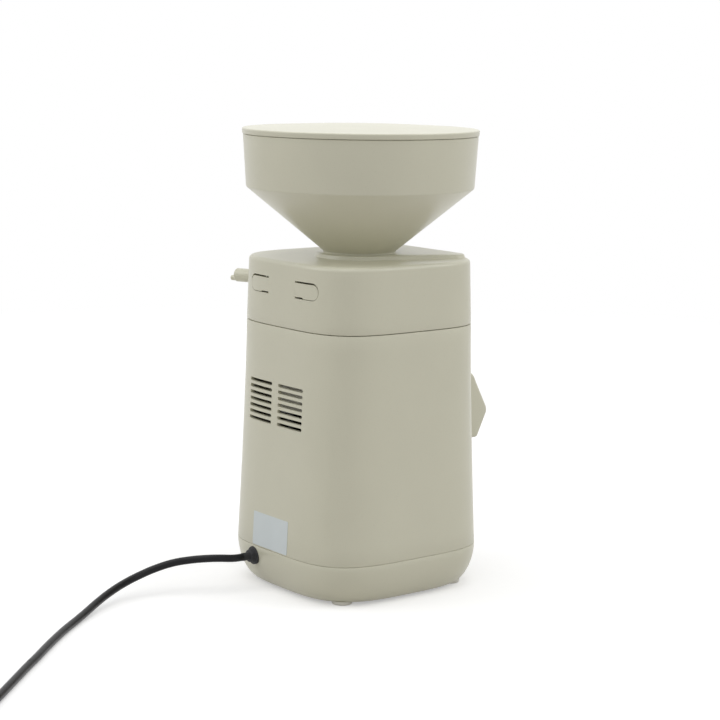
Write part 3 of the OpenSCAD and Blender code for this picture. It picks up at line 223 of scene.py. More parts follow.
def settle(obj, place):
    """Puts an object's place into its mesh"""
    make_active(obj)
    obj.matrix_world = place
    bpy.context.view_layer.update()
    bpy.ops.object.transform_apply(location=True, rotation=True, scale=True)


def apply_modifier(obj, kind, **settings):
    """Adds a modifier with its settings and applies it"""
    modifier = obj.modifiers.new(kind.lower(), kind)
    for name, value in settings.items():
        setattr(modifier, name, value)
    make_active(obj)
    bpy.ops.object.modifier_apply(modifier=modifier.name)


def combine(obj, other, operation):
    """Cuts, joins or intersects one solid with another, which is used up"""
    apply_modifier(obj, "BOOLEAN", operation=operation, solver="MANIFOLD", object=other)
    bpy.data.objects.remove(other)


# ---- Shapes that several parts share ----

def rounded(corners, closed=False, arc_steps=4):
    """Points of an outline. A corner is (across, up, radius), and a radius makes an arc."""
    points = []
    for i, (across, up, radius) in enumerate(corners):
        here = Vector((across, up))
        if radius == 0:
            points.append(here)
            continue
        before = (Vector(corners[i - 1][:2]) - here).normalized()
        after = (Vector(corners[(i + 1) % len(corners)][:2]) - here).normalized()
        half = before.angle(after) / 2
        centre = here + (before + after).normalized() * radius / math.sin(half)
        first = here + before * radius / math.tan(half) - centre
        last = here + after * radius / math.tan(half) - centre
        turn = first.angle(last)
        for step in range(arc_steps + 1):
            share = step / arc_steps
            arm = math.sin((1 - share) * turn) * first + math.sin(share * turn) * last
            points.append(centre + arm / math.sin(turn))
    return points + points[:1] if closed else points


def draw_outline(name, outline):
    """Draws a chain of edges through (across, height) points and selects it"""
    clear_selection()
    bpy.ops.mesh.primitive_plane_add(size=0.001)
    obj = start(name)
    # A lone vertex is only extruded in this mode, and another piece may have left another one
    bpy.ops.mesh.select_mode(type="VERT")
    bpy.ops.mesh.select_all(action="SELECT")
    bpy.ops.mesh.merge(type="CENTER")
    points = [Vector((point[0], 0, point[1])) for point in outline]
    bpy.ops.transform.translate(value=points[0])
    for here, there in zip(points, points[1:]):
        bpy.ops.mesh.extrude_region_move(TRANSFORM_OT_translate={"value": there - here})
    bpy.ops.mesh.select_all(action="SELECT")
    return obj


def turned(name, outline, place=None, steps=96):
    """Spins an outline of (radius, height) points about Z, and then moves it to its place"""
    obj = draw_outline(name, outline)
    bpy.ops.mesh.spin(steps=steps, angle=math.tau, center=(0, 0, 0), axis=(0, 0, 1))
    close_mesh()
    settle(obj, place or Matrix.Translation(AXIS))
    return obj


def prism(name, outline, depth, place=None):
    """Extrudes a closed outline of (x, z) points along +Y by a depth"""
    obj = draw_outline(name, outline)
    bpy.ops.mesh.remove_doubles(threshold=TOUCH)
    bpy.ops.mesh.edge_face_add()
    bpy.ops.mesh.extrude_region_move(TRANSFORM_OT_translate={"value": (0, depth, 0)})
    close_mesh()
    settle(obj, place or Matrix.Identity(4))
    return obj


def block(name, low, high):
    """Box between two corners"""
    clear_selection()
    low, high = Vector(low), Vector(high)
    bpy.ops.mesh.primitive_cube_add(size=1, location=(low + high) / 2, scale=high - low)
    return placed(name)


def soft_block(name, low, high, axis, radius, segments):
    """Box whose edges along one axis are rounded"""
    obj = block(name, low, high)
    bpy.ops.object.mode_set(mode="EDIT")
    pick("EDGE", lambda edge: abs((edge.verts[0].co - edge.verts[1].co)[axis]) > 1e-4)
    bpy.ops.mesh.bevel(offset=radius, segments=segments, affect="EDGES")
    bpy.ops.object.mode_set(mode="OBJECT")
    return obj


def rod(name, centre, radius, low, high, sides=32):
    """Upright cylinder at a place beside the mill's axis"""
    clear_selection()
    place = AXIS + Vector((centre[0], centre[1], (low + high) / 2))
    bpy.ops.mesh.primitive_cylinder_add(
        vertices=sides, radius=radius, depth=high - low, location=place)
    return placed(name)


def join(name, objects):
    """Makes one object of several"""
    clear_selection()
    for obj in objects:
        obj.select_set(True)
    bpy.context.view_layer.objects.active = objects[0]
    bpy.ops.object.join()
    objects[0].name = name
    return objects[0]


# ---- Outline of the housing ----

RING_SEGMENTS = 24


def roof_z():
    """Height of the flat roof that the raised panel stands on"""
    return UPPER_HIGH.z - bpy.context.scene.mill_housing.panel_h


def seam_share(z):
    """Share of the flare that is reached at a height"""
    sizes = bpy.context.scene.mill_housing
    base_seam = MAIN_LOW.z - sizes.seam_gap / 2
    upper_seam = MAIN_HIGH.z + sizes.seam_gap / 2
    share = max(0, upper_seam - max(z, base_seam)) / (upper_seam - base_seam)
    return share ** sizes.flare_power


def roof_share(z):
    """Share of the upper housing's draft that is reached at a height"""
    return max(0, z - MAIN_HIGH.z) / (roof_z() - MAIN_HIGH.z)


def half_x(z):
    """Half the housing's width at a height"""
    draft = bpy.context.scene.mill_housing.draft_x
    return HALF_X_TOP + (HALF_X_BASE - HALF_X_TOP) * seam_share(z) - draft * roof_share(z)


def half_y(z):
    """Half the housing's depth at a height"""
    draft = bpy.context.scene.mill_housing.draft_y
    return HALF_Y_TOP + (HALF_Y_BASE - HALF_Y_TOP) * seam_share(z) - draft * roof_share(z)


def back_y(x, z):
    """Depth of the housing's back at a place beside its axis"""
    power = bpy.context.scene.mill_housing.corner_power
    return AXIS.y + half_y(z) * (1 - (abs(x) / half_x(z)) ** power) ** (1 / power)


def add_ring(z, inset, power):
    """Adds the housing's outline at a height: a square whose corners are bevelled to its curve"""
    bpy.ops.mesh.select_mode(type="VERT")
    bpy.ops.mesh.select_all(action="DESELECT")
    bpy.ops.mesh.primitive_plane_add(size=2)
    bpy.ops.mesh.bevel(
        offset_type="PERCENT", offset_pct=50, segments=RING_SEGMENTS,
        profile=2 ** (-2 / power), affect="VERTICES")
    bpy.ops.mesh.remove_doubles(threshold=NEAR)
    bpy.ops.transform.resize(
        value=(half_x(z) - inset, half_y(z) - inset, 1), center_override=(0, 0, 0))
    bpy.ops.transform.translate(value=(AXIS.x, AXIS.y, z))
    bpy.ops.mesh.delete(type="ONLY_FACE")


def stack(name, levels):
    """Skin through outlines at rising or falling heights. A level is (z, inset, power)."""
    obj = empty_mesh(name)
    for level in levels:
        add_ring(*level)
    bpy.ops.mesh.select_all(action="SELECT")
    bpy.ops.mesh.bridge_edge_loops()
    return obj


def pick_ring(z):
    """Selects the outline at a height"""
    pick("VERT", lambda vert: abs(vert.co.z - z) < TOUCH)


def draw_on(z, inset, path):
    """Extrudes the selected outline from level to level. A level is (z, inset)."""
    for next_z, next_inset in path:
        bpy.ops.mesh.extrude_region_move(TRANSFORM_OT_translate={"value": (0, 0, next_z - z)})
        grow_x = (half_x(next_z) - next_inset) / (half_x(z) - inset)
        grow_y = (half_y(next_z) - next_inset) / (half_y(z) - inset)
        bpy.ops.transform.resize(
            value=(grow_x, grow_y, 1), center_override=(AXIS.x, AXIS.y, next_z))
        z, inset = next_z, next_inset


def cap(z, inset, steps=(0.012, 0.037)):
    """Closes the selected outline with a face, stepped in so that it shades evenly"""
    draw_on(z, inset, [(z, inset + step) for step in steps])
    bpy.ops.mesh.edge_face_add()


# ---- Shader expressions ----

class Value:
    """A shader socket in an expression: + - and * add Math nodes"""

    def __init__(self, shader, socket):
        self.shader = shader
        self.socket = socket

    def math(self, operation, first, second):
        return self.shader.node("ShaderNodeMath", {"operation": operation}, {0: first, 1: second})

    def __add__(self, other):
        return self.math("ADD", self, other)

    __radd__ = __add__

    def __sub__(self, other):
        return self.math("SUBTRACT", self, other)

    def __rsub__(self, other):
        return self.math("SUBTRACT", other, self)

    def __mul__(self, other):
        return self.math("MULTIPLY", self, other)

    __rmul__ = __mul__


class NodeTree:
    """A node tree whose nodes are added by one method"""

    def __init__(self, tree):
        self.tree = tree

    def connect(self, node, inputs):
        for key, value in inputs.items():
            if isinstance(value, Value):
                self.tree.links.new(value.socket, node.inputs[key])
            else:
                node.inputs[key].default_value = value

    def node(self, kind, settings, inputs, output=0):
        """Adds a node, sets its own settings and then its sockets, and returns one output"""
        node = self.tree.nodes.new(kind)
        for key, value in settings.items():
            if key == "stops":
                for stop, (position, colour) in zip(node.color_ramp.elements, value):
                    stop.position = position
                    stop.color = (*colour, 1)
            else:
                setattr(node, key, value)
        self.connect(node, inputs)
        return Value(self, node.outputs[output])

    def seen_rays(self):
        """1 for rays that show the background: from the camera, and off or through gloss"""
        rays = [
            self.node("ShaderNodeLightPath", {}, {}, name)
            for name in ("Is Camera Ray", "Is Glossy Ray", "Is Transmission Ray")]
        return reduce(lambda first, second: first.math("MAXIMUM", first, second), rays)


class Shader(NodeTree):
    """A material, with its surface and its output"""

    def __init__(self, name):
        self.material = bpy.data.materials.new(name)
        self.material.use_nodes = True
        super().__init__(self.material.node_tree)
        self.surface = self.tree.nodes["Principled BSDF"]
        self.output = self.tree.nodes["Material Output"]

    def place(self, scale=(1, 1, 1)):
        """Object coordinates, stretched where a scale is given"""
        coordinates = self.node("ShaderNodeTexCoord", {}, {}, "Object")
        if scale == (1, 1, 1):
            return coordinates
        return self.node("ShaderNodeMapping", {}, {"Vector": coordinates, "Scale": scale})

    def noise(self, place, scale, detail=2.0, roughness=0.5):
        """Clouds, or grains where the scale is high. Scale is their number in a metre."""
        return self.node(
            "ShaderNodeTexNoise", {},
            {"Vector": place, "Scale": scale, "Detail": detail, "Roughness": roughness}, "Fac")

    def ramp(self, value, stops):
        """Colour between stops, each (value, colour)"""
        return self.node("ShaderNodeValToRGB", {"stops": stops}, {"Fac": value}, "Color")

    def mask(self, value, low, high):
        """Runs from 0 to 1 while the value runs from low to high"""
        return self.node(
            "ShaderNodeMapRange", {"interpolation_type": "SMOOTHSTEP"},
            {"Value": value, "From Min": low, "From Max": high}, "Result")

    def mix(self, share, first, second):
        """Mixes two colours"""
        first, second = (c if isinstance(c, Value) else (*c, 1) for c in (first, second))
        return self.node(
            "ShaderNodeMix", {"data_type": "RGBA"}, {0: share, 6: first, 7: second}, 2)

    def bump(self, height, distance):
        """Relief whose height of 1 stands a distance proud"""
        return self.node(
            "ShaderNodeBump", {}, {"Height": height, "Distance": distance, "Strength": 1.0},
            "Normal")

    def finish(self, colour, roughness, more):
        """Sets the surface's sockets and returns the material"""
        self.connect(self.surface, {"Base Color": colour, "Roughness": roughness, **more})
        return self.material


def shade(colour, factor):
    """A lighter or darker version of a colour"""
    return tuple(min(1.0, part * factor) for part in colour)


# ---- Finishes ----

PLASTIC_IOR, SHEATH_IOR = 1.49, 1.3
GRAIN_DEPTH = 0.00006   # relief of the moulded grain


def moulded(name, colour, gloss, grain=1.0):
    """Moulded plastic with a fine eroded grain, faint clouds and tiny specks"""
    shader = Shader(name)
    place = shader.place()
    cloud = shader.noise(place, scale=26, detail=3.0)
    grains = shader.noise(place, scale=1500, roughness=0.6)
    specks = shader.mask(shader.noise(place, scale=1900, detail=1.0), 0.66, 0.74)
    body = shader.mix(cloud, shade(colour, 0.975), shade(colour, 1.025))
    flecked = shader.mix(specks * 0.35, body, shade(colour, 0.72))
    height = grains + cloud * 0.2
    return shader.finish(
        flecked, gloss + 0.10 * grains - 0.04 * cloud,
        {"Normal": shader.bump(height, GRAIN_DEPTH * grain), "IOR": PLASTIC_IOR})


def ivory_plastic():
    return moulded("ivory_plastic", bpy.context.scene.mill_colours.ivory, 0.28)


def inner_plastic():
    return moulded("inner_plastic", bpy.context.scene.mill_colours.milky, 0.46, 0.6)


def foot_plastic():
    return moulded("foot_plastic", shade(bpy.context.scene.mill_colours.milky, 1.12), 0.34, 0.4)


def black_plastic():
    return moulded("black_plastic", bpy.context.scene.mill_colours.black, 0.36, 0.8)


def plate_film():
    """Matt printed film with a faint paper tooth"""
    shader = Shader("plate_film")
    place = shader.place()
    tooth = shader.noise(place, scale=2400)
    cloud = shader.noise(place, scale=60)
    colour = bpy.context.scene.mill_colours.film
    return shader.finish(
        shader.mix(cloud, shade(colour, 0.97), shade(colour, 1.04)), 0.42 + 0.1 * tooth,
        {"Normal": shader.bump(tooth, 0.00002)})


def black_rubber():
    """Soft rubber, matt, with a dusting on its high spots"""
    shader = Shader("black_rubber")
    place = shader.place()
    dust = shader.mask(shader.noise(place, scale=300, detail=4.0), 0.55, 0.8)
    tooth = shader.noise(place, scale=2600)
    colour = bpy.context.scene.mill_colours.black
    return shader.finish(
        shader.mix(dust * 0.3, colour, shade(colour, 2.4)), 0.55 + 0.15 * tooth,
        {"Normal": shader.bump(tooth, 0.00004)})


def cord_sheath():
    """Extruded sheath with a soft shine and faint scuffs"""
    shader = Shader("cord_sheath")
    place = shader.place()
    scuff = shader.mask(shader.noise(place, scale=190, detail=4.0), 0.56, 0.78)
    ripple = shader.noise(place, scale=700)
    colour = bpy.context.scene.mill_colours.black
    return shader.finish(
        shader.mix(scuff * 0.4, shade(colour, 0.85), shade(colour, 1.9)), 0.28 + 0.22 * scuff,
        {"Normal": shader.bump(ripple, 0.00005), "IOR": SHEATH_IOR})


def metal(name, colour, roughness, stretch, depth):
    """Metal with the marks of its making, drawn out along one direction"""
    shader = Shader(name)
    marks = shader.noise(shader.place(stretch), scale=900, detail=3.0)
    cloud = shader.noise(shader.place(), scale=40, detail=3.0)
    return shader.finish(
        shader.mix(marks, shade(colour, 0.88), shade(colour, 1.08)),
        roughness + 0.16 * marks - 0.06 * cloud,
        {"Normal": shader.bump(marks, depth), "Metallic": 1.0})


def bright_steel():
    return metal("bright_steel", (0.62, 0.62, 0.63), 0.22, (1, 1, 0.08), 0.00002)


def cast_alloy():
    return metal("cast_alloy", (0.56, 0.57, 0.59), 0.44, (0.35, 0.35, 0.35), 0.0002)


def banded(name, colour, period, roughness, depth):
    """Stack or winding whose layers follow each other along Z"""
    wave_period = math.tau / 20   # period of a Wave Texture at scale 1
    shader = Shader(name)
    place = shader.place()
    bands = shader.node(
        "ShaderNodeTexWave", {"bands_direction": "Z"},
        {"Vector": place, "Scale": wave_period / period, "Distortion": 0.4}, "Fac")
    cloud = shader.noise(place, scale=120, detail=3.0)
    return shader.finish(
        shader.mix(bands * 0.7 + cloud * 0.3, shade(colour, 0.62), shade(colour, 1.05)),
        roughness + 0.15 * cloud, {"Normal": shader.bump(bands, depth), "Metallic": 1.0})


def lamination_steel():
    return banded("lamination_steel", (0.15, 0.155, 0.17), 0.0006, 0.38, 0.00012)


def copper():
    return banded("copper", (0.60, 0.24, 0.11), 0.0009, 0.26, 0.0003)


def carbon():
    """Pressed carbon, grey-black with fine glints"""
    shader = Shader("carbon")
    grains = shader.noise(shader.place(), scale=1800, detail=4.0)
    return shader.finish(
        shader.ramp(grains, [(0.35, (0.02, 0.02, 0.022)), (0.75, (0.09, 0.09, 0.095))]),
        0.62 - 0.2 * grains, {"Normal": shader.bump(grains, 0.00008)})


def milling_stone():
    """Bound corundum: coarse grit of several greys in a pale bond"""
    shader = Shader("milling_stone")
    place = shader.place()
    grit = shader.node("ShaderNodeTexVoronoi", {}, {"Vector": place, "Scale": 520}, "Distance")
    tone = shader.noise(place, scale=420, detail=4.0, roughness=0.65)
    return shader.finish(
        shader.ramp(tone, [(0.36, (0.24, 0.22, 0.20)), (0.66, (0.58, 0.55, 0.50))]),
        0.78 + 0.12 * grit, {"Normal": shader.bump(grit + tone * 0.6, 0.0006)})


def felt():
    """Pressed felt with short fibres"""
    shader = Shader("felt")
    fibres = shader.noise(shader.place((1, 1, 0.3)), scale=1500, detail=5.0, roughness=0.7)
    return shader.finish(
        shader.ramp(fibres, [(0.3, (0.02, 0.02, 0.02)), (0.8, (0.10, 0.10, 0.10))]),
        0.88 + 0.08 * fibres, {"Normal": shader.bump(fibres, 0.0003)})


FINISHES = {
    finish.__name__: finish for finish in (
        ivory_plastic, inner_plastic, foot_plastic, black_plastic, plate_film, black_rubber,
        cord_sheath, bright_steel, cast_alloy, lamination_steel, copper, carbon, milling_stone,
        felt)
}


def finished(slot):
    """The finish of a slot, made when it is first asked for"""
    name = f"{slot}_finish"
    if name not in bpy.data.materials:
        FINISHES[slot]().name = name
    return bpy.data.materials[name]


def dress(obj, slot):
    """Gives a piece the finish of a slot"""
    obj.data.materials.clear()
    obj.data.materials.append(finished(slot))


def deliver(obj, node, slot=None, angle=35):
    """Shades a piece, gives it its finish and its body, and hides the node that it stands for"""
    slot = slot or NODE_SLOT[node]
    if obj.type == "MESH":
        make_active(obj)
        bpy.ops.object.shade_smooth_by_angle(angle=math.radians(angle))
    dress(obj, slot)
    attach(obj, NODE_BODY[node])
    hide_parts(node)


# ---- Cord, gland and plug ----

CORD_R = 0.003
GLAND_X = (GLAND_LOW.x + GLAND_HIGH.x) / 2
GLAND_Z = (GLAND_LOW.z + GLAND_HIGH.z) / 2
GLAND_SINK = 0.0015    # how deep the gland's flange is sunk into the base shell
CORD_EXIT = Vector((GLAND_X, GLAND_HIGH.y, GLAND_Z))
CORD_STRAIGHT = 0.003  # straight piece behind the gland
# Route over the table, from the gland to the coil, in millimetres
ROUTE = (
    (18.9, 111, 24.6), (21.9, 120, 25.4), (27, 131, 25.6), (33.6, 142, 24.6),
    (40.6, 152, 22.4), (45.6, 164, 19), (46.8, 178, 15.4), (43.8, 195, 11.8), (37, 212, 8.6),
    (27.6, 228, 6), (15.8, 244, 4.2), (3.4, 260, 3.2), (-9, 275, 3), (-23.6, 291, 3),
    (-39, 307, 3), (-55, 323, 3), (-70.4, 339, 3), (-85.4, 354, 3), (-100.4, 369, 3),
    (-115.4, 384, 3), (-129, 398, 3.1), (-141, 411, 3.5), (-151, 423, 3.9))
COIL_CENTRE = Vector((-0.130, 0.462, 0))
COIL_START = math.radians(217.7)
COIL_WAY = Vector((math.sin(COIL_START), -math.cos(COIL_START), 0))
COIL_R = 0.041
COIL_TURNS = 5
COIL_STEP = 0.0066     # distance between neighbouring turns, and between the layers
COIL_LOW_Z = CORD_R + 0.001
COIL_POINTS = 24
COIL_LEAD = 0.004      # last straight piece before the coil
TAIL_L, TAIL_POINTS = 0.042, 7
PLUG_R = 0.0184
PLUG_Z = PLUG_R + 0.0002
PLUG_SLEEVE_R = CORD_R + 0.0012
# One rib of the plug's sleeve: steps outwards and along it
PLUG_RIB = ((0, 0), (-0.0008, 0.0006), (-0.0006, 0.0016), (0.0004, 0.0022))


def ease(share):
    """Runs softly from 0 to 1"""
    share = min(1, max(0, share))
    return share * share * (3 - 2 * share)


def coil_point(turns):
    """Point of the coil, whose loops spiral in, climb a layer and spiral out again"""
    half = COIL_TURNS / 2
    radius = COIL_R - COIL_STEP * (turns if turns < half else COIL_TURNS - turns)
    angle = COIL_START - math.tau * turns
    rise = COIL_LOW_Z + COIL_STEP * ease((turns - half + 0.25) / 0.5)
    return COIL_CENTRE + Vector((radius * math.cos(angle), radius * math.sin(angle), rise))


def cord_points():
    """All points of the cord: its route, the coil and the tail up to the plug"""
    loops = [coil_point(i / COIL_POINTS) for i in range(COIL_TURNS * COIL_POINTS + 1)]
    lead = loops[0] - 2 * CORD_R * COIL_WAY
    rise = PLUG_Z - loops[-1].z
    tail = [
        loops[-1] + COIL_WAY * TAIL_L * i / TAIL_POINTS
        + Vector((0, 0, rise * ease(i / (TAIL_POINTS - 1))))
        for i in range(1, TAIL_POINTS + 1)]
    route = [Vector(point) * 0.001 for point in ROUTE]
    straight = CORD_EXIT + Vector((0, CORD_STRAIGHT, 0))
    return [CORD_EXIT, straight, *route, lead - COIL_LEAD * COIL_WAY, lead, *loops, *tail]


def along(origin, way):
    """Place whose Z axis runs along a direction"""
    return Matrix.Translation(origin) @ way.to_track_quat("Z", "Y").to_matrix().to_4x4()


def gland_place(y):
    """Place on the gland's axis, which runs out through the back"""
    return along(Vector((GLAND_X, y, GLAND_Z)), Vector((0, 1, 0)))


def gland_seat():
    """Depth that the gland's flange is sunk to"""
    return back_y(GLAND_X - AXIS.x, GLAND_Z) - GLAND_SINK


class MILL_OT_cord(bpy.types.Operator):
    """Lays the mains cord with its coil, tie and plug"""

    bl_idname = "mill.cord"
    bl_label = "Mains cord and plug"

    def execute(self, context):
        points = cord_points()
        curve = bpy.data.curves.new("mains_lead", "CURVE")
        curve.dimensions = "3D"
        curve.bevel_depth = CORD_R
        curve.bevel_resolution = 5
        curve.resolution_u = 6
        curve.use_fill_caps = True
        spline = curve.splines.new("BEZIER")
        spline.bezier_points.add(len(points) - 1)
        for bezier, point in zip(spline.bezier_points, points):
            bezier.co = point
            bezier.handle_left_type = bezier.handle_right_type = "AUTO"
        lead = bpy.data.objects.new("mains_lead", curve)
        context.collection.objects.link(lead)
        deliver(lead, "mains_cord")
        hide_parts("cord_coil")

        plug_place = along(points[-1], COIL_WAY)
        body = self.plug_body(plug_place)
        prongs = self.plug_prongs(plug_place)
        tie = self.tie()
        return {"FINISHED"}

    def plug_body(self, place):
        """Round plug with a ribbed sleeve, a waist and a sunken face"""
        waist, shoulder, front = 0.0165, 0.022, 0.039
        first_rib, rib_pitch, rib_count, soft = 0.0035, 0.0028, 4, 0.0003
        sleeve_grow, sleeve_l = 0.0030, 0.011
        face = front - 0.0008
        ribs = []
        for i in range(rib_count):
            height = first_rib + rib_pitch * i
            radius = PLUG_SLEEVE_R + sleeve_grow * height / sleeve_l
            ribs += [(radius + out, height + onwards, soft) for out, onwards in PLUG_RIB]
        outline = rounded([
            (0, 0, 0), (PLUG_SLEEVE_R, 0, 0.0006), *ribs,
            (PLUG_SLEEVE_R + 0.006, waist, 0.004), (PLUG_R - 0.0012, shoulder - 0.0005, 0.0012),
            (PLUG_R, shoulder + 0.0015, 0.0012), (PLUG_R, front, 0.0014),
            (PLUG_R - 0.0045, front, 0.0004), (PLUG_R - 0.0050, face, 0.0004), (0, face, 0)])
        body = turned("plug_body", outline, place)
        deliver(body, "mains_plug")
        return body

    def plug_prongs(self, place):
        """Two round pins with rounded tips"""
        pin_r, root, tip, pitch, soft = 0.0024, 0.037, 0.058, 0.019, 0.0012
        outline = rounded([(0, root, 0), (pin_r, root, 0), (pin_r, tip, soft), (0, tip, 0)])
        pair = join("plug_prongs", [
            turned("prong", outline, place @ Matrix.Translation((0, side * pitch / 2, 0)), 40)
            for side in (-1, 1)])
        deliver(pair, "mains_plug", "bright_steel")
        return pair

    def tie(self):
        """Strap round one side of the coil"""
        thick, wide, room, gap_below = 0.0008, 0.007, 0.0003, 0.0001
        sharp, soft = 0.0004, 0.0032
        inner = COIL_R - COIL_STEP * COIL_TURNS / 2 - CORD_R - room
        outer = COIL_R + CORD_R + room
        low = COIL_LOW_Z - CORD_R - gap_below
        high = COIL_LOW_Z + COIL_STEP + CORD_R + room
        turn = Matrix.Rotation(COIL_START - math.radians(200), 4, "Z")
        place = Matrix.Translation(COIL_CENTRE) @ turn @ Matrix.Translation((0, -wide / 2, 0))

        def loop(grow):
            outline = rounded([
                (inner - grow, low - grow, grow + sharp), (outer + grow, low - grow, grow + sharp),
                (outer + grow, high + grow, soft + grow), (inner - grow, high + grow, soft + grow)],
                closed=True)
            return prism("cord_strap", outline, wide, place)

        strap = loop(thick)
        combine(strap, loop(0), "DIFFERENCE")
        deliver(strap, "cord_tie")
        return strap


class MILL_OT_gland(bpy.types.Operator):
    """Turns the rubber gland that the cord comes out of"""

    bl_idname = "mill.gland"
    bl_label = "Cord gland"

    def execute(self, context):
        flange_r, neck_r, tip_r = (GLAND_HIGH.x - GLAND_LOW.x) / 2, 0.0052, CORD_R + 0.00015
        flange_t, sleeve_l = 0.0026, 0.0034
        length = GLAND_HIGH.y - GLAND_LOW.y
        seat = gland_seat() - GLAND_LOW.y
        face = seat + flange_t
        blunt = face + sleeve_l
        outline = rounded([
            (0, 0, 0), (neck_r, 0, 0), (neck_r, seat, 0), (flange_r, seat, 0),
            (flange_r, face, 0.0011), (neck_r, face, 0.0005), (neck_r - 0.0003, blunt, 0.0010),
            (tip_r, blunt + 0.0003, 0.0002), (tip_r, length, 0), (0, length, 0)])
        gland = turned("gland_sleeve", outline, gland_place(GLAND_LOW.y), 64)
        deliver(gland, "cord_gland")
        return {"FINISHED"}


# ---- Base shell and feet ----

BASE_BOTTOM_Z = BASE_LOW.z
BASE_CURVE, BASE_TUCK_CURVE = 0.86, 0.78   # powers of the base's profile, 1 is an ellipse
LOWER_GAP = 0.00015   # the lower seam is closer than the upper one
LIP_INSET_GAP, LIP_T, LIP_H, LIP_ROOT = 0.0004, 0.0018, 0.005, 0.004
POST_R, SCREW_R, BOSS_R, WELL_R, WELL_H = 0.0048, 0.002, 0.007, 0.0044, 0.006
FOOT_R, SOCKET_R, SOCKET_H = 0.008, 0.00815, 0.001
BELOW_Z = -0.01       # where tools that cut from below start


def four(across, depth):
    """Places at the four corners, beside the mill's axis"""
    return [(side * across, way * depth) for side in (-1, 1) for way in (-1, 1)]


POSTS = four(0.059, 0.040)
FEET = four(0.054, 0.054)


def seam_edge(z, way, edge):
    """Soft edge at a seam, where way is 1 for a shell's upper end and -1 for its lower end"""
    return [(z - way * 0.3 * edge, 0.3 * edge), (z, edge)]


class MILL_OT_base(bpy.types.Operator):
    """Models the base shell with its lip, bosses and screw wells, and the feet"""

    bl_idname = "mill.base"
    bl_label = "Base shell and feet"

    def execute(self, context):
        shell = self.tub(context.scene.mill_housing)
        for place in POSTS:
            boss = rod("boss", place, BOSS_R, BASE_BOTTOM_Z + 0.001, MAIN_LOW.z - 0.0001)
            combine(shell, boss, "UNION")
        for name, places, radius, top, sides in (
                ("well", POSTS, WELL_R, BASE_BOTTOM_Z + WELL_H, 32),
                ("hole", POSTS, SCREW_R + 0.0003, 0.05, 32),
                ("socket", FEET, SOCKET_R, BASE_BOTTOM_Z + SOCKET_H, 64)):
            for place in places:
                combine(shell, rod(name, place, radius, BELOW_Z, top, sides), "DIFFERENCE")
        # A hole for the gland's neck and a seat for its flange
        reach = 0.05
        for radius, low in ((0.0053, 0.06), (0.0073, gland_seat())):
            outline = [(0, 0), (radius, 0), (radius, reach), (0, reach)]
            combine(shell, turned("gland_hole", outline, gland_place(low), 48), "DIFFERENCE")
        deliver(shell, "base_shell")
        self.feet()
        return {"FINISHED"}

    def tub(self, sizes):
        """Closed wall of the base, from its bottom up to the lip and down inside"""
        top = MAIN_LOW.z - LOWER_GAP
        edge, wall = sizes.seam_round, sizes.wall
        start_z = top - edge

        def level(share):
            angle = math.pi / 2 * share
            swing = 1 - math.cos(angle)
            return (
                start_z - (start_z - BASE_BOTTOM_Z) * math.sin(angle) ** BASE_CURVE,
                sizes.base_tuck * swing ** BASE_TUCK_CURVE,
                sizes.corner_power + (sizes.base_power - sizes.corner_power) * swing)

        steps, inner_steps = 16, 6
        shell = stack("base_tub", [level(i / steps) for i in range(steps, -1, -1)])
        lip = wall + LIP_INSET_GAP
        pick_ring(start_z)
        path = [
            *seam_edge(top, 1, edge), (top, lip), (top + LIP_H, lip), (top + LIP_H, lip + LIP_T),
            (top - LIP_ROOT, lip + LIP_T), (top - LIP_ROOT - 0.0005, wall)]
        inner = [level(i / inner_steps) for i in range(2, inner_steps + 1)]
        path += [(max(z, BASE_BOTTOM_Z + wall), inset + wall) for z, inset, _ in inner]
        draw_on(start_z, 0, path)
        cap(*path[-1])
        pick_ring(BASE_BOTTOM_Z)
        cap(BASE_BOTTOM_Z, sizes.base_tuck)
        close_mesh()
        return shell

    def feet(self):
        """Feet with a soft edge and a moulded dimple"""
        height, dimple = FEET_HIGH.z, 0.0008
        outline = rounded([
            (0, dimple, 0), (0.0022, dimple, 0.0004), (0.0030, 0, 0.0006), (FOOT_R, 0, 0.0011),
            (FOOT_R, height, 0), (0, height, 0)])
        group = join("round_feet", [
            turned("foot", outline, Matrix.Translation(AXIS + Vector((*place, 0))), 56)
            for place in FEET])
        deliver(group, "feet")


# ---- Main housing ----

VENT_X = 0.0055       # middle of the bar between the columns, beside the mill's axis
VENT_LOW_Z = 0.1342   # middle of the lowest slots
POST_DROP = 0.0087    # distance from the upper seam to the posts' tops
RIB_T = 0.003
POST_HOLE_H = 0.019
DUCT_LOW, DUCT_HIGH = Vector((-0.023, -0.12, 0.121)), Vector((0.023, -0.04, 0.163))
SWITCH_HOLE_X = (0.04, 0.1)   # where the switch's opening starts and ends, beside the axis


def switch_box(name, low_x, high_x, inset):
    """Box with the switch's outline, drawn in by an inset"""
    return block(
        name, (low_x, SWITCH_LOW.y + inset, SWITCH_LOW.z + inset),
        (high_x, SWITCH_HIGH.y - inset, SWITCH_HIGH.z - inset))


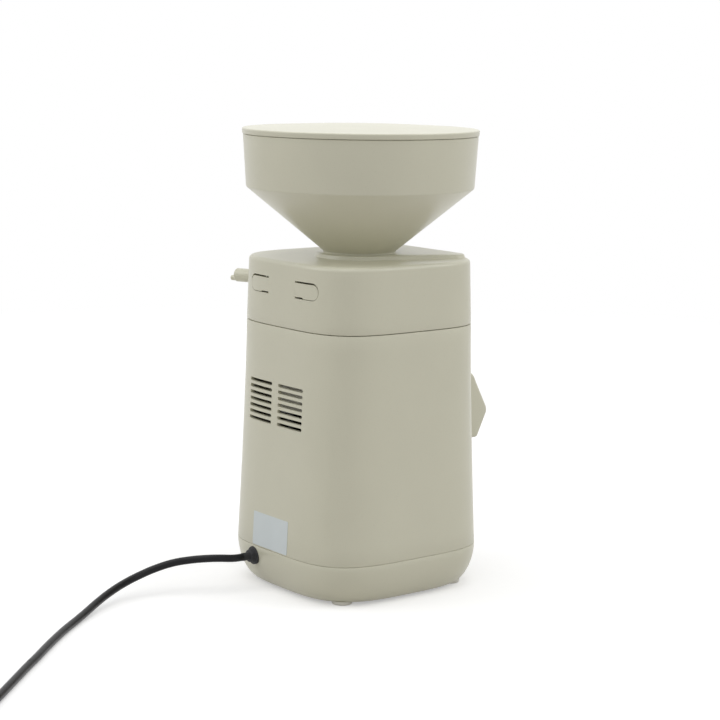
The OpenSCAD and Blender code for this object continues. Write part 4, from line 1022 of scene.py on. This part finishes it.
class MILL_OT_main_housing(bpy.types.Operator):
    """Models the tall body shell with its vents and openings"""

    bl_idname = "mill.main_housing"
    bl_label = "Main housing"

    def execute(self, context):
        shell = self.wall_ring(context.scene.mill_housing)
        self.posts(shell)
        combine(shell, self.vent_tool(context.scene.mill_details), "DIFFERENCE")
        face = SWITCH_HIGH.x
        for opening in (
                block("duct", AXIS + DUCT_LOW, AXIS + DUCT_HIGH),
                switch_box("switch_hole", *(AXIS.x + x for x in SWITCH_HOLE_X), 0.001),
                switch_box("switch_seat", face - 0.002, face + 0.01, -0.0001)):
            combine(shell, opening, "DIFFERENCE")
        deliver(shell, "main_housing")
        return {"FINISHED"}

    def wall_ring(self, sizes):
        """The body's wall, up its outside and down its inside"""
        low, high, edge, wall = MAIN_LOW.z, MAIN_HIGH.z, sizes.seam_round, sizes.wall
        steps = 14
        rise = (high - low - 2 * edge) / steps
        levels = [(low + edge + rise * i, 0, sizes.corner_power) for i in range(steps + 1)]
        shell = stack("body_shell", levels)
        pick_ring(high - edge)
        draw_on(high - edge, 0, [
            *seam_edge(high, 1, edge), (high, wall),
            *((levels[i][0], wall) for i in range(steps - 1, 0, -1)),
            (low, wall), *reversed(seam_edge(low, -1, edge)), (low + edge, 0)])
        close_mesh(NEAR)
        return shell

    def posts(self, shell):
        """Screw posts with their holes, each with a rib to the side wall"""
        low, top = MAIN_LOW.z, MAIN_HIGH.z - POST_DROP
        for across, depth in POSTS:
            combine(shell, rod("post", (across, depth), POST_R, low, top), "UNION")
            side = math.copysign(1, across)
            inner = AXIS.x + across + side * POST_R * 0.5
            outer = AXIS.x + side * (half_x(top) - 0.004)
            y = AXIS.y + depth
            rib = block(
                "rib", (min(inner, outer), y - RIB_T / 2, low + 0.001),
                (max(inner, outer), y + RIB_T / 2, top - 0.001))
            combine(shell, rib, "UNION")
        for place in POSTS:
            hole = rod("hole", place, SCREW_R, low - 0.001, low + POST_HOLE_H, 24)
            combine(shell, hole, "DIFFERENCE")

    def vent_tool(self, details):
        """One slot with rounded ends, repeated up and across"""
        across = details.vent_w + details.vent_bar
        centre = AXIS.x + VENT_X - across / 2
        slot = soft_block(
            "slots", (centre - details.vent_w / 2, AXIS.y + 0.05, VENT_LOW_Z - details.vent_h / 2),
            (centre + details.vent_w / 2, AXIS.y + 0.1, VENT_LOW_Z + details.vent_h / 2),
            axis=1, radius=details.vent_h * 0.42, segments=5)
        for count, step in ((details.vent_count, (0, 0, details.vent_pitch)), (2, (across, 0, 0))):
            apply_modifier(
                slot, "ARRAY", count=count, use_relative_offset=False, use_constant_offset=True,
                constant_offset_displace=step)
        return slot


class MILL_OT_rating_plate(bpy.types.Operator):
    """Lays the blank rating plate's film on the back of the main housing"""

    bl_idname = "mill.rating_plate"
    bl_label = "Rating plate"

    def execute(self, context):
        shell = bpy.data.objects.get("body_shell")
        if shell is None:
            raise RuntimeError("the rating plate needs the main housing first")
        film = context.scene.mill_details.film
        corner_r, stand_off, hair = 0.0009, 0.02, 0.00002
        clear_selection()
        bpy.ops.mesh.primitive_grid_add(x_subdivisions=22, y_subdivisions=14, size=1)
        plate = start("blank_plate")
        wide, high = PLATE_HIGH.x - PLATE_LOW.x, PLATE_HIGH.z - PLATE_LOW.z
        bpy.ops.transform.resize(value=(wide, high, 1))

        def outermost(vert):
            return abs(abs(vert.co.x) - wide / 2) < TOUCH and abs(abs(vert.co.y) - high / 2) < TOUCH

        pick("VERT", outermost)
        bpy.ops.mesh.bevel(offset=corner_r, segments=4, affect="VERTICES")
        bpy.ops.object.mode_set(mode="OBJECT")
        centre = (PLATE_LOW + PLATE_HIGH) / 2
        behind = Matrix.Translation((centre.x, centre.y + stand_off, centre.z))
        settle(plate, behind @ Matrix.Rotation(math.pi / 2, 4, "X"))
        apply_modifier(
            plate, "SHRINKWRAP", target=shell, wrap_method="PROJECT", use_project_y=True,
            use_negative_direction=True, use_positive_direction=False, offset=hair)
        apply_modifier(plate, "SOLIDIFY", thickness=film, offset=-1)
        # The film stands on the shell, so the side that faces away from it is its outer one
        bpy.ops.object.mode_set(mode="EDIT")
        bpy.ops.mesh.select_all(action="SELECT")
        bpy.ops.mesh.normals_make_consistent(inside=False)
        bpy.ops.object.mode_set(mode="OBJECT")
        deliver(plate, "rating_plate")
        return {"FINISHED"}


# ---- Upper housing and latches ----

LEVER_R, LEVER_Z = 0.0055, 0.238
LEVER_SWEEP, SWEEP_SPARE = math.radians(57), math.radians(3)
LEVER_ROOM = 0.0008
NECK_HOLE_R = 0.0264
LATCH_Z, LATCH_H = 0.241, 0.0106
LATCH_ROOT_X, LATCH_TIP_X = 0.0174, 0.0428
LATCH_PLAY = 0.00008
PILLAR_ANGLE = math.radians(60)
PILLAR_PLACE, PILLAR_R = 0.068, 0.0046
PILLAR_Z, PILLAR_HOLE_Z, NECK_HOLE_Z = (0.209, 0.2595), (0.2, 0.221), (0.2, 0.3)
WINDOW_Y, WINDOW_DEPTH = 0.0645, 0.08   # where the latches' tools start, and their reach
SLOT_IN, SLOT_OUT = 0.014, 0.04         # reach of the lever slot's tool inwards and outwards


def latch_tool(name, side, places):
    """Bar through the back wall. Its corners are (out from the centre line, height, radius)."""
    outline = rounded(
        [(AXIS.x + side * x, z, radius) for x, z, radius in places], closed=True, arc_steps=8)
    return prism(name, outline, WINDOW_DEPTH, Matrix.Translation((0, AXIS.y + WINDOW_Y, 0)))


class MILL_OT_upper_housing(bpy.types.Operator):
    """Models the upper housing with its roof panel, latch windows and lever slot"""

    bl_idname = "mill.upper_housing"
    bl_label = "Upper housing"

    def execute(self, context):
        shell = self.roofed_wall(context.scene.mill_housing)
        combine(shell, self.panel(), "UNION")
        for angle in (PILLAR_ANGLE, math.pi - PILLAR_ANGLE, math.pi + PILLAR_ANGLE, -PILLAR_ANGLE):
            place = (PILLAR_PLACE * math.cos(angle), PILLAR_PLACE * math.sin(angle))
            combine(shell, rod("pillar", place, PILLAR_R, *PILLAR_Z), "UNION")
            combine(shell, rod("hole", place, SCREW_R, *PILLAR_HOLE_Z, 24), "DIFFERENCE")
        combine(shell, rod("neck_hole", (0, 0), NECK_HOLE_R, *NECK_HOLE_Z, 96), "DIFFERENCE")
        combine(shell, self.lever_slot(), "DIFFERENCE")
        slit = context.scene.mill_details.latch_slit
        root, tip, soft = LATCH_ROOT_X, LATCH_TIP_X + slit, LATCH_H / 2 + slit - 0.0002
        low, high = LATCH_Z - LATCH_H / 2 - slit, LATCH_Z + LATCH_H / 2 + slit
        for side in (-1, 1):
            window = latch_tool("window", side, [
                (root, low, 0), (tip, low, soft), (tip, high, soft), (root, high, 0)])
            combine(shell, window, "DIFFERENCE")
        deliver(shell, "upper_housing")
        return {"FINISHED"}

    def roofed_wall(self, sizes):
        """Closed wall with the roof, its soft edge, and the lip below the seam"""
        edge, wall, bend, power = sizes.seam_round, sizes.wall, sizes.roof_edge, sizes.corner_power
        low, roof = MAIN_HIGH.z + sizes.seam_gap, roof_z()
        steps, arc_steps = 6, 7
        rise = roof - bend - low - edge
        walls = [(low + edge + rise * i / steps, 0, power) for i in range(steps)]
        angles = [math.pi / 2 * i / arc_steps for i in range(arc_steps + 1)]
        arc = [
            (roof - bend * (1 - math.sin(angle)), bend * (1 - math.cos(angle)), power)
            for angle in angles]
        shell = stack("upper_shell", walls + arc)
        lip = wall + LIP_INSET_GAP
        under = roof - wall
        pick_ring(low + edge)
        draw_on(low + edge, 0, [
            *seam_edge(low, -1, edge), (low, lip), (low - LIP_H, lip), (low - LIP_H, lip + LIP_T),
            (low + 0.003, lip + LIP_T), (low + 0.005, wall), (under - bend / 2, wall),
            (under, wall + bend / 2)])
        cap(under, wall + bend / 2)
        pick_ring(roof)
        cap(roof, bend, (0.008, 0.024, 0.044))
        close_mesh()
        return shell

    def panel(self):
        """Fan-shaped panel from the hopper's neck to the front corners, with a bevelled edge"""
        draft, soft, top = 0.0015, 0.0012, UPPER_HIGH.z
        neck_r, corner_r, corner_x, corner_y = 0.0336, 0.009, 0.047, -0.056
        panel = empty_mesh("panel")
        for height, grow in (
                (roof_z() - 0.0005, draft), (top - soft, 0.3 * draft),
                (top - 0.3 * soft, 0.3 * draft - 0.3 * soft), (top, 0.3 * draft - soft)):
            for place, radius in (
                    ((0, 0), neck_r), ((corner_x, corner_y), corner_r),
                    ((-corner_x, corner_y), corner_r)):
                bpy.ops.mesh.primitive_circle_add(
                    vertices=96, radius=radius + grow, location=AXIS + Vector((*place, height)))
        bpy.ops.mesh.select_all(action="SELECT")
        bpy.ops.mesh.convex_hull()
        close_mesh()
        return panel

    def lever_slot(self):
        """Ring sector that the lever sweeps through"""
        half = math.asin((LEVER_R + LEVER_ROOM) / (HALF_X_TOP - 0.003))
        first = bpy.context.scene.mill_details.lever_angle - LEVER_SWEEP - half
        sweep = LEVER_SWEEP + 2 * half + SWEEP_SPARE
        inner, outer = HALF_X_TOP - SLOT_IN, HALF_X_TOP + SLOT_OUT
        low, high = LEVER_Z - LEVER_R - LEVER_ROOM, LEVER_Z + LEVER_R + LEVER_ROOM
        slot = draw_outline("slot", [(inner, low), (outer, low), (outer, high), (inner, high)])
        bpy.ops.mesh.edge_face_add()
        bpy.ops.mesh.spin(steps=48, angle=sweep, center=(0, 0, 0), axis=(0, 0, 1))
        bpy.ops.mesh.select_all(action="SELECT")
        bpy.ops.mesh.fill_holes(sides=0)
        close_mesh()
        # The way that spin turned is read from the mesh
        angles = [vert.co.to_2d().angle_signed(Vector((1, 0)), 0) for vert in slot.data.vertices]
        begin = first if max(angles, key=abs) > 0 else first + sweep
        settle(slot, Matrix.Translation(AXIS) @ Matrix.Rotation(begin, 4, "Z"))
        return slot


class MILL_OT_latches(bpy.types.Operator):
    """Cuts the two latch tongues from the upper housing's wall"""

    bl_idname = "mill.latches"
    bl_label = "Latch tongues"

    def execute(self, context):
        details = context.scene.mill_details
        root, tip = LATCH_ROOT_X + LATCH_PLAY, LATCH_TIP_X + details.latch_slit - details.latch_line
        low, high = LATCH_Z - LATCH_H / 2, LATCH_Z + LATCH_H / 2
        deep = low - details.latch_slit + details.latch_line
        third = LATCH_ROOT_X + (tip - LATCH_ROOT_X) * 0.36
        sharp, soft = 0.0002, 0.0055
        places = [
            (root, low, 0), (third, low, sharp), (third + 0.0008, deep, sharp), (tip, deep, soft),
            (tip, high, soft), (root, high, 0)]
        for side, node in ((1, "latch_tongue_left"), (-1, "latch_tongue_right")):
            tongue = self.wall_band(node, context.scene.mill_housing)
            combine(tongue, latch_tool("tongue_tool", side, places), "INTERSECT")
            deliver(tongue, node)
        return {"FINISHED"}

    def wall_band(self, node, sizes):
        """Closed band of the housing's wall at the latches' height"""
        half_h, power = 0.011, sizes.corner_power
        low, high = LATCH_Z - half_h, LATCH_Z + half_h
        band = stack(f"{node}_skin", [(low, 0, power), (high, 0, power)])
        pick_ring(high)
        draw_on(high, 0, [(high, sizes.wall), (low, sizes.wall), (low, 0)])
        close_mesh(NEAR)
        return band


# ---- Hopper and lid ----

HOPPER_R = (HOPPER_HIGH.x - HOPPER_LOW.x) / 2
RIM_Z = HOPPER_HIGH.z
BOWL_T = 0.0025
BOWL_H = 0.042   # height of the bowl's upright wall
TURNED_STEPS, TURNED_ANGLE = 160, 30


class MILL_OT_hopper(bpy.types.Operator):
    """Turns the hopper: its wall, cone and neck"""

    bl_idname = "mill.hopper"
    bl_label = "Hopper"

    def execute(self, context):
        wall_r, wall_z = HOPPER_R - 0.0025, RIM_Z - BOWL_H
        foot_r, neck_r = 0.0286, 0.026
        foot_z, neck_low = UPPER_HIGH.z, HOPPER_LOW.z
        slope = math.atan((wall_z - foot_z) / (wall_r - foot_r))
        outline = rounded([
            (neck_r, neck_low, 0.0006), (neck_r, foot_z, 0.0001), (foot_r, foot_z, 0.0003),
            (foot_r, foot_z + 0.0014, 0.0012), (wall_r, wall_z + 0.0012, 0.0020),
            (HOPPER_R, RIM_Z, 0.0007), (HOPPER_R - BOWL_T, RIM_Z, 0.0006),
            (wall_r - BOWL_T, wall_z + BOWL_T, 0.004),
            (neck_r - BOWL_T, foot_z + BOWL_T * math.tan(slope) * 0.6, 0.004),
            (neck_r - BOWL_T, neck_low, 0.0006)], closed=True, arc_steps=5)
        deliver(turned("hopper_bowl", outline, steps=TURNED_STEPS), "hopper", angle=TURNED_ANGLE)
        return {"FINISHED"}


class MILL_OT_lid(bpy.types.Operator):
    """Turns the lid with its rim, shallow dome and centring ring"""

    bl_idname = "mill.lid"
    bl_label = "Hopper lid"

    def execute(self, context):
        lid_r = (LID_HIGH.x - LID_LOW.x) / 2
        top, dome, plate = RIM_Z + 0.0047, 0.003, 0.0024
        ring_r, ring_low = HOPPER_R - 0.0029, LID_LOW.z
        ring_inner = ring_r - 0.002
        under_rim = RIM_Z + 0.0003
        shoulder = lid_r - 0.0035
        crown = [
            (radius, top + dome * (1 - (radius / shoulder) ** 2), 0)
            for radius in (0.075, 0.06, 0.045, 0.03, 0.015, 0)]
        outline = rounded([
            (0, LID_HIGH.z - plate, 0), (ring_inner, top - plate, 0.001),
            (ring_inner, ring_low, 0.0006), (ring_r, ring_low, 0.0008), (ring_r, under_rim, 0.0003),
            (lid_r - 0.0003, under_rim, 0.0004), (lid_r, top, 0.0012),
            (shoulder, top + 0.0001, 0.002), *crown], arc_steps=5)
        deliver(turned("lid_cover", outline, steps=TURNED_STEPS), "hopper_lid", angle=TURNED_ANGLE)
        return {"FINISHED"}


# ---- Spout ----

SPOUT_T = 0.0025
SPOUT_BACK_Y = AXIS.y - 0.055
NOSE_Z = 0.131
FORM_LOW_Z, FORM_STEP, FORM_STEPS = 0.06, 0.02, 6


class MILL_OT_spout(bpy.types.Operator):
    """Models the hood over the flour's way out"""

    bl_idname = "mill.spout"
    bl_label = "Flour spout"

    def execute(self, context):
        half_w = (SPOUT_HIGH.x - SPOUT_LOW.x) / 2
        back, nose, low, top = SPOUT_BACK_Y, SPOUT_LOW.y, SPOUT_LOW.z, SPOUT_HIGH.z
        outline = rounded([
            (back, low, 0), (nose + 0.0112, low, 0.0045), (nose, NOSE_Z, 0.008),
            (nose + 0.0125, NOSE_Z + 0.0235, 0.012), (nose + 0.0168, top, 0.008),
            (back, top, 0)], closed=True, arc_steps=6)
        stand = Matrix.Translation((AXIS.x + half_w, 0, 0)) @ Matrix.Rotation(math.pi / 2, 4, "Z")
        hood = prism("flour_hood", outline, 2 * half_w, stand)
        bpy.ops.object.mode_set(mode="EDIT")

        def on_side(edge):
            first, second = (vert.co for vert in edge.verts)
            if any(abs(abs(co.x - AXIS.x) - half_w) > TOUCH for co in (first, second)):
                return False
            return abs(first.x - second.x) < TOUCH and min(first.y, second.y) < back + 1e-4

        def open_face(face):
            beneath = face.normal.z < -0.55 and face.calc_center_median().z < NOSE_Z - 0.004
            return face.normal.y > 0.9 or beneath

        pick("EDGE", on_side)
        bpy.ops.mesh.bevel(offset=0.0032, segments=5, affect="EDGES", clamp_overlap=True)
        pick("FACE", open_face)
        bpy.ops.mesh.delete(type="FACE")
        bpy.ops.mesh.select_all(action="SELECT")
        bpy.ops.mesh.remove_doubles(threshold=TOUCH)
        bpy.ops.object.mode_set(mode="OBJECT")
        apply_modifier(hood, "SOLIDIFY", thickness=SPOUT_T, offset=-1)
        combine(hood, self.housing_block(context.scene.mill_housing), "DIFFERENCE")
        deliver(hood, "flour_spout")
        return {"FINISHED"}

    def housing_block(self, sizes):
        """Solid of the housing's outer form behind the hood"""
        levels = [FORM_LOW_Z + FORM_STEP * i for i in range(FORM_STEPS + 1)]
        form = stack("housing_form", [(z, 0, sizes.corner_power) for z in levels])
        for z in (levels[0], levels[-1]):
            pick_ring(z)
            bpy.ops.mesh.edge_face_add()
        close_mesh()
        return form


# ---- Lever ----

class MILL_OT_lever(bpy.types.Operator):
    """Turns the adjusting lever and its nub"""

    bl_idname = "mill.lever"
    bl_label = "Adjusting lever"

    def execute(self, context):
        angle = context.scene.mill_details.lever_angle
        root, tip, nub_l, nub_r, nub_drop = 0.0461, 0.115, 0.005, 0.0022, 0.0026
        way = Vector((math.cos(angle), math.sin(angle), 0))
        place = along(AXIS + Vector((0, 0, LEVER_Z)), way)
        low = Matrix.Translation((0, 0, -nub_drop)) @ place

        def bar(first, last, radius, sharp, soft):
            return rounded(
                [(0, first, 0), (radius, first, sharp), (radius, last, soft), (0, last, 0)],
                arc_steps=6)

        lever = turned("lever_bar", bar(root, tip, LEVER_R, 0.0004, 0.0016), place, 64)
        nub = turned("nub", bar(tip - 0.001, tip + nub_l, nub_r, 0, 0.0011), low, 48)
        combine(lever, nub, "UNION")
        deliver(lever, "adjusting_lever")
        return {"FINISHED"}


# ---- Switch ----

FRAME_T = 0.002
WELL_DEPTH = 0.0085
FRAME_WALL, KEY_GAP = 0.0018, 0.0003
TERMINAL_STEP, TERMINAL_T, TERMINAL_W = 0.006, 0.0008, 0.0048
ROCKER_THROW = math.radians(14)


class MILL_OT_switch(bpy.types.Operator):
    """Models the switch's frame and its rocker on the side"""

    bl_idname = "mill.switch"
    bl_label = "Rocker switch"

    def execute(self, context):
        back, face = SWITCH_LOW.x, SWITCH_HIGH.x
        body = soft_block(
            "switch_frame", (face - FRAME_T, SWITCH_LOW.y, SWITCH_LOW.z), SWITCH_HIGH,
            axis=0, radius=0.0016, segments=4)
        bpy.ops.object.mode_set(mode="EDIT")
        pick("EDGE", lambda edge: all(vert.co.x > face - NEAR for vert in edge.verts))
        bpy.ops.mesh.bevel(offset=0.0006, segments=3, affect="EDGES")
        bpy.ops.object.mode_set(mode="OBJECT")
        combine(body, switch_box("case", back + 0.006, face - FRAME_T + 0.0005, 0.0011), "UNION")
        middle = (SWITCH_LOW.z + SWITCH_HIGH.z) / 2
        for step in (-1, 0, 1):
            z = middle + step * TERMINAL_STEP
            terminal = block(
                "terminal", (back, AXIS.y - TERMINAL_W / 2, z - TERMINAL_T / 2),
                (back + 0.007, AXIS.y + TERMINAL_W / 2, z + TERMINAL_T / 2))
            combine(body, terminal, "UNION")
        well = switch_box("well", face - WELL_DEPTH, face + 0.01, FRAME_WALL - KEY_GAP)
        combine(body, well, "DIFFERENCE")
        deliver(body, "switch_body")
        self.rocker(face, middle)
        return {"FINISHED"}

    def rocker(self, face, middle):
        """Rocker with a hollowed face, at rest on its lower end"""
        half_l = (SWITCH_HIGH.z - SWITCH_LOW.z) / 2 - FRAME_WALL
        half_w = (SWITCH_HIGH.y - SWITCH_LOW.y) / 2 - FRAME_WALL
        steps = 8
        shares = [2 * i / steps - 1 for i in range(steps + 1)]
        hollow = [(0.0026 + 0.0009 * share ** 2, half_l * 0.80 * share, 0) for share in shares]
        upper = [
            (0.0036, half_l - 0.0006, 0.0005), (0.0016, half_l - 0.0009, 0.0005),
            (-0.0032, 0.003, 0.0004)]
        lower = [(out, -up, radius) for out, up, radius in reversed(upper)]
        outline = rounded([*lower, *hollow, *upper], closed=True)
        stand = Matrix.Translation((face - 0.003, AXIS.y - half_w, middle))
        tilt = Matrix.Rotation(-ROCKER_THROW / 2, 4, "Y")
        rocker = prism("rocker_key", outline, 2 * half_w, stand @ tilt)
        bpy.ops.object.mode_set(mode="EDIT")
        bpy.ops.mesh.select_mode(type="EDGE")
        bpy.ops.mesh.select_all(action="DESELECT")
        bpy.ops.mesh.edges_select_sharp(sharpness=math.radians(50))
        bpy.ops.mesh.bevel(offset=0.0004, segments=2, affect="EDGES", clamp_overlap=True)
        close_mesh()
        deliver(rocker, "switch_rocker")


# ---- Finishes of the parts that keep their own mesh ----

class MILL_OT_inner_finishes(bpy.types.Operator):
    """Gives every part that keeps its mesh the finish of its slot"""

    bl_idname = "mill.inner_finishes"
    bl_label = "Finishes of the inner parts"

    def execute(self, context):
        for node, obj in frame["nodes"].items():
            dress(obj, NODE_SLOT[node])
        return {"FINISHED"}


# ---- Stage ----

WHITE = (1, 1, 1)
# The camera stands behind the mill, to its right, a little above its middle
CAMERA_AZIMUTH, CAMERA_ELEVATION = math.radians(232.4415), math.radians(9.5925)
CAMERA_ROLL = math.radians(0.743)
CAMERA_DISTANCE, CAMERA_TARGET_Z = 1.54616, 0.170
LENS, SENSOR, SHIFT_X, SHIFT_Y = 97.241, 36, 0.00303, 0.01343
# Lamps: name, place, width and watts
LAMPS = (
    ("overhead", (0.1, -0.1, 1.9), 2.2, 15.5),
    ("left", (1.2, 2.0, 1.9), 1.8, 16.0),
    ("right", (-1.7, -1.7, 1.9), 1.8, 16.5),
    ("front", (-1.2, 1.0, 1.9), 1.8, 4.0),
)
LAMP_AIM = Vector((0, 0, 0.15))
WORLD_LIGHT = 0.42
FLOOR_WHITE = (0.95, 0.95, 0.95)
FLOOR_GLOW = 0.2    # share of the floor's own white where it is seen, near the mill
FLOOR_LIFT = 0.9    # how much brighter that white is near the mill than far from it
FLOOR_REACH = 1.6   # beyond this the floor is all white
FLOOR_R, FLOOR_RING = 7, 3


class MILL_OT_stage(bpy.types.Operator):
    """Sets the camera at the photograph's angle, the lights, the background and the floor"""

    bl_idname = "mill.stage"
    bl_label = "Stage"

    def execute(self, context):
        self.camera(context)
        self.lights(context)
        self.background(context)
        self.floor(context)
        context.scene.view_settings.view_transform = "Standard"
        return {"FINISHED"}

    def camera(self, context):
        """Camera that looks at the mill's axis, with the lens of the photograph's frame"""
        lens = bpy.data.cameras.new("camera")
        lens.lens = LENS
        lens.sensor_width = SENSOR
        lens.shift_x = SHIFT_X
        lens.shift_y = SHIFT_Y
        camera = bpy.data.objects.new("camera", lens)
        context.collection.objects.link(camera)
        level = math.cos(CAMERA_ELEVATION)
        away = Vector((
            math.sin(CAMERA_AZIMUTH) * level, -math.cos(CAMERA_AZIMUTH) * level,
            math.sin(CAMERA_ELEVATION)))
        target = AXIS + Vector((0, 0, CAMERA_TARGET_Z))
        roll = Matrix.Rotation(CAMERA_ROLL, 4, "Z")
        camera.matrix_world = along(target + CAMERA_DISTANCE * away, away) @ roll
        context.scene.camera = camera

    def lights(self, context):
        """Wide soft lamps, all above the mill: one over it and three round it"""
        for name, place, size, power in LAMPS:
            lamp = bpy.data.lights.new(name, "AREA")
            lamp.shape = "DISK"
            lamp.size = size
            lamp.energy = power
            obj = bpy.data.objects.new(name, lamp)
            context.collection.objects.link(obj)
            obj.matrix_world = along(place, Vector(place) - LAMP_AIM)

    def background(self, context):
        """White where it is seen, and a plain pale light for everything else"""
        world = bpy.data.worlds.new("studio")
        context.scene.world = world
        world.use_nodes = True
        studio = NodeTree(world.node_tree)
        light, shown = (
            studio.node("ShaderNodeBackground", {}, {"Color": (*WHITE, 1), "Strength": strength})
            for strength in (WORLD_LIGHT, 1.0))
        both = studio.node("ShaderNodeMixShader", {}, {0: studio.seen_rays(), 1: light, 2: shown})
        studio.connect(world.node_tree.nodes["World Output"], {"Surface": both})

    def floor(self, context):
        """Pale floor that is seen as white and keeps the mill's soft shadow"""
        clear_selection()
        bpy.ops.mesh.primitive_circle_add(vertices=96, radius=FLOOR_R, fill_type="NGON")
        floor = start("floor")
        bpy.ops.mesh.inset(thickness=FLOOR_RING)
        bpy.ops.object.mode_set(mode="OBJECT")
        shader = Shader("pale_floor")
        seen = shader.seen_rays()
        colour = shader.mix(seen, context.scene.mill_colours.floor, FLOOR_WHITE)
        shader.finish(colour, 0.9, {"Specular IOR Level": 0.1})
        near = shader.node(
            "ShaderNodeTexGradient", {"gradient_type": "SPHERICAL"},
            {"Vector": shader.place((1 / FLOOR_REACH,) * 3)})
        close = shader.mask(near, 0.0, 0.5)
        lifted = shader.mix(close, WHITE, (1 + FLOOR_LIFT,) * 3)
        glow = shader.node("ShaderNodeEmission", {}, {"Color": lifted, "Strength": 1.0})
        lit = Value(shader, shader.surface.outputs[0])
        share = 1 - (1 - FLOOR_GLOW) * close
        both = shader.node("ShaderNodeMixShader", {}, {0: seen * share, 1: lit, 2: glow})
        shader.connect(shader.output, {"Surface": both})
        floor.data.materials.append(shader.material)


# ---- Panel and registration ----

STEPS = (
    MILL_OT_stage, MILL_OT_cord, MILL_OT_gland, MILL_OT_base, MILL_OT_main_housing,
    MILL_OT_rating_plate, MILL_OT_upper_housing, MILL_OT_latches, MILL_OT_hopper, MILL_OT_lid,
    MILL_OT_spout, MILL_OT_lever, MILL_OT_switch, MILL_OT_inner_finishes)


class MILL_PT_panel(bpy.types.Panel):
    """Lists the mill's sizes, colours and steps"""

    bl_idname = "MILL_PT_panel"
    bl_label = "Grain mill"
    bl_space_type = "VIEW_3D"
    bl_region_type = "UI"
    bl_category = "Grain mill"

    def draw(self, context):
        scene = context.scene
        for group in (scene.mill_housing, scene.mill_details, scene.mill_colours):
            box = self.layout.box()
            for name in group.__annotations__:
                box.prop(group, name)
        for step in STEPS:
            self.layout.operator(step.bl_idname)


GROUPS = {
    "mill_housing": MillHousingSizes,
    "mill_details": MillDetailSizes,
    "mill_colours": MillColours,
}
CLASSES = (*GROUPS.values(), *STEPS, MILL_PT_panel)


def register():
    for item in CLASSES:
        bpy.utils.register_class(item)
    for name, group in GROUPS.items():
        setattr(bpy.types.Scene, name, PointerProperty(type=group))


def unregister():
    for name in GROUPS:
        delattr(bpy.types.Scene, name)
    for item in reversed(CLASSES):
        bpy.utils.unregister_class(item)


def main():
    register()
    for step in STEPS:
        family, name = step.bl_idname.split(".")
        getattr(getattr(bpy.ops, family), name)()


if __name__ == "__main__":
    main()
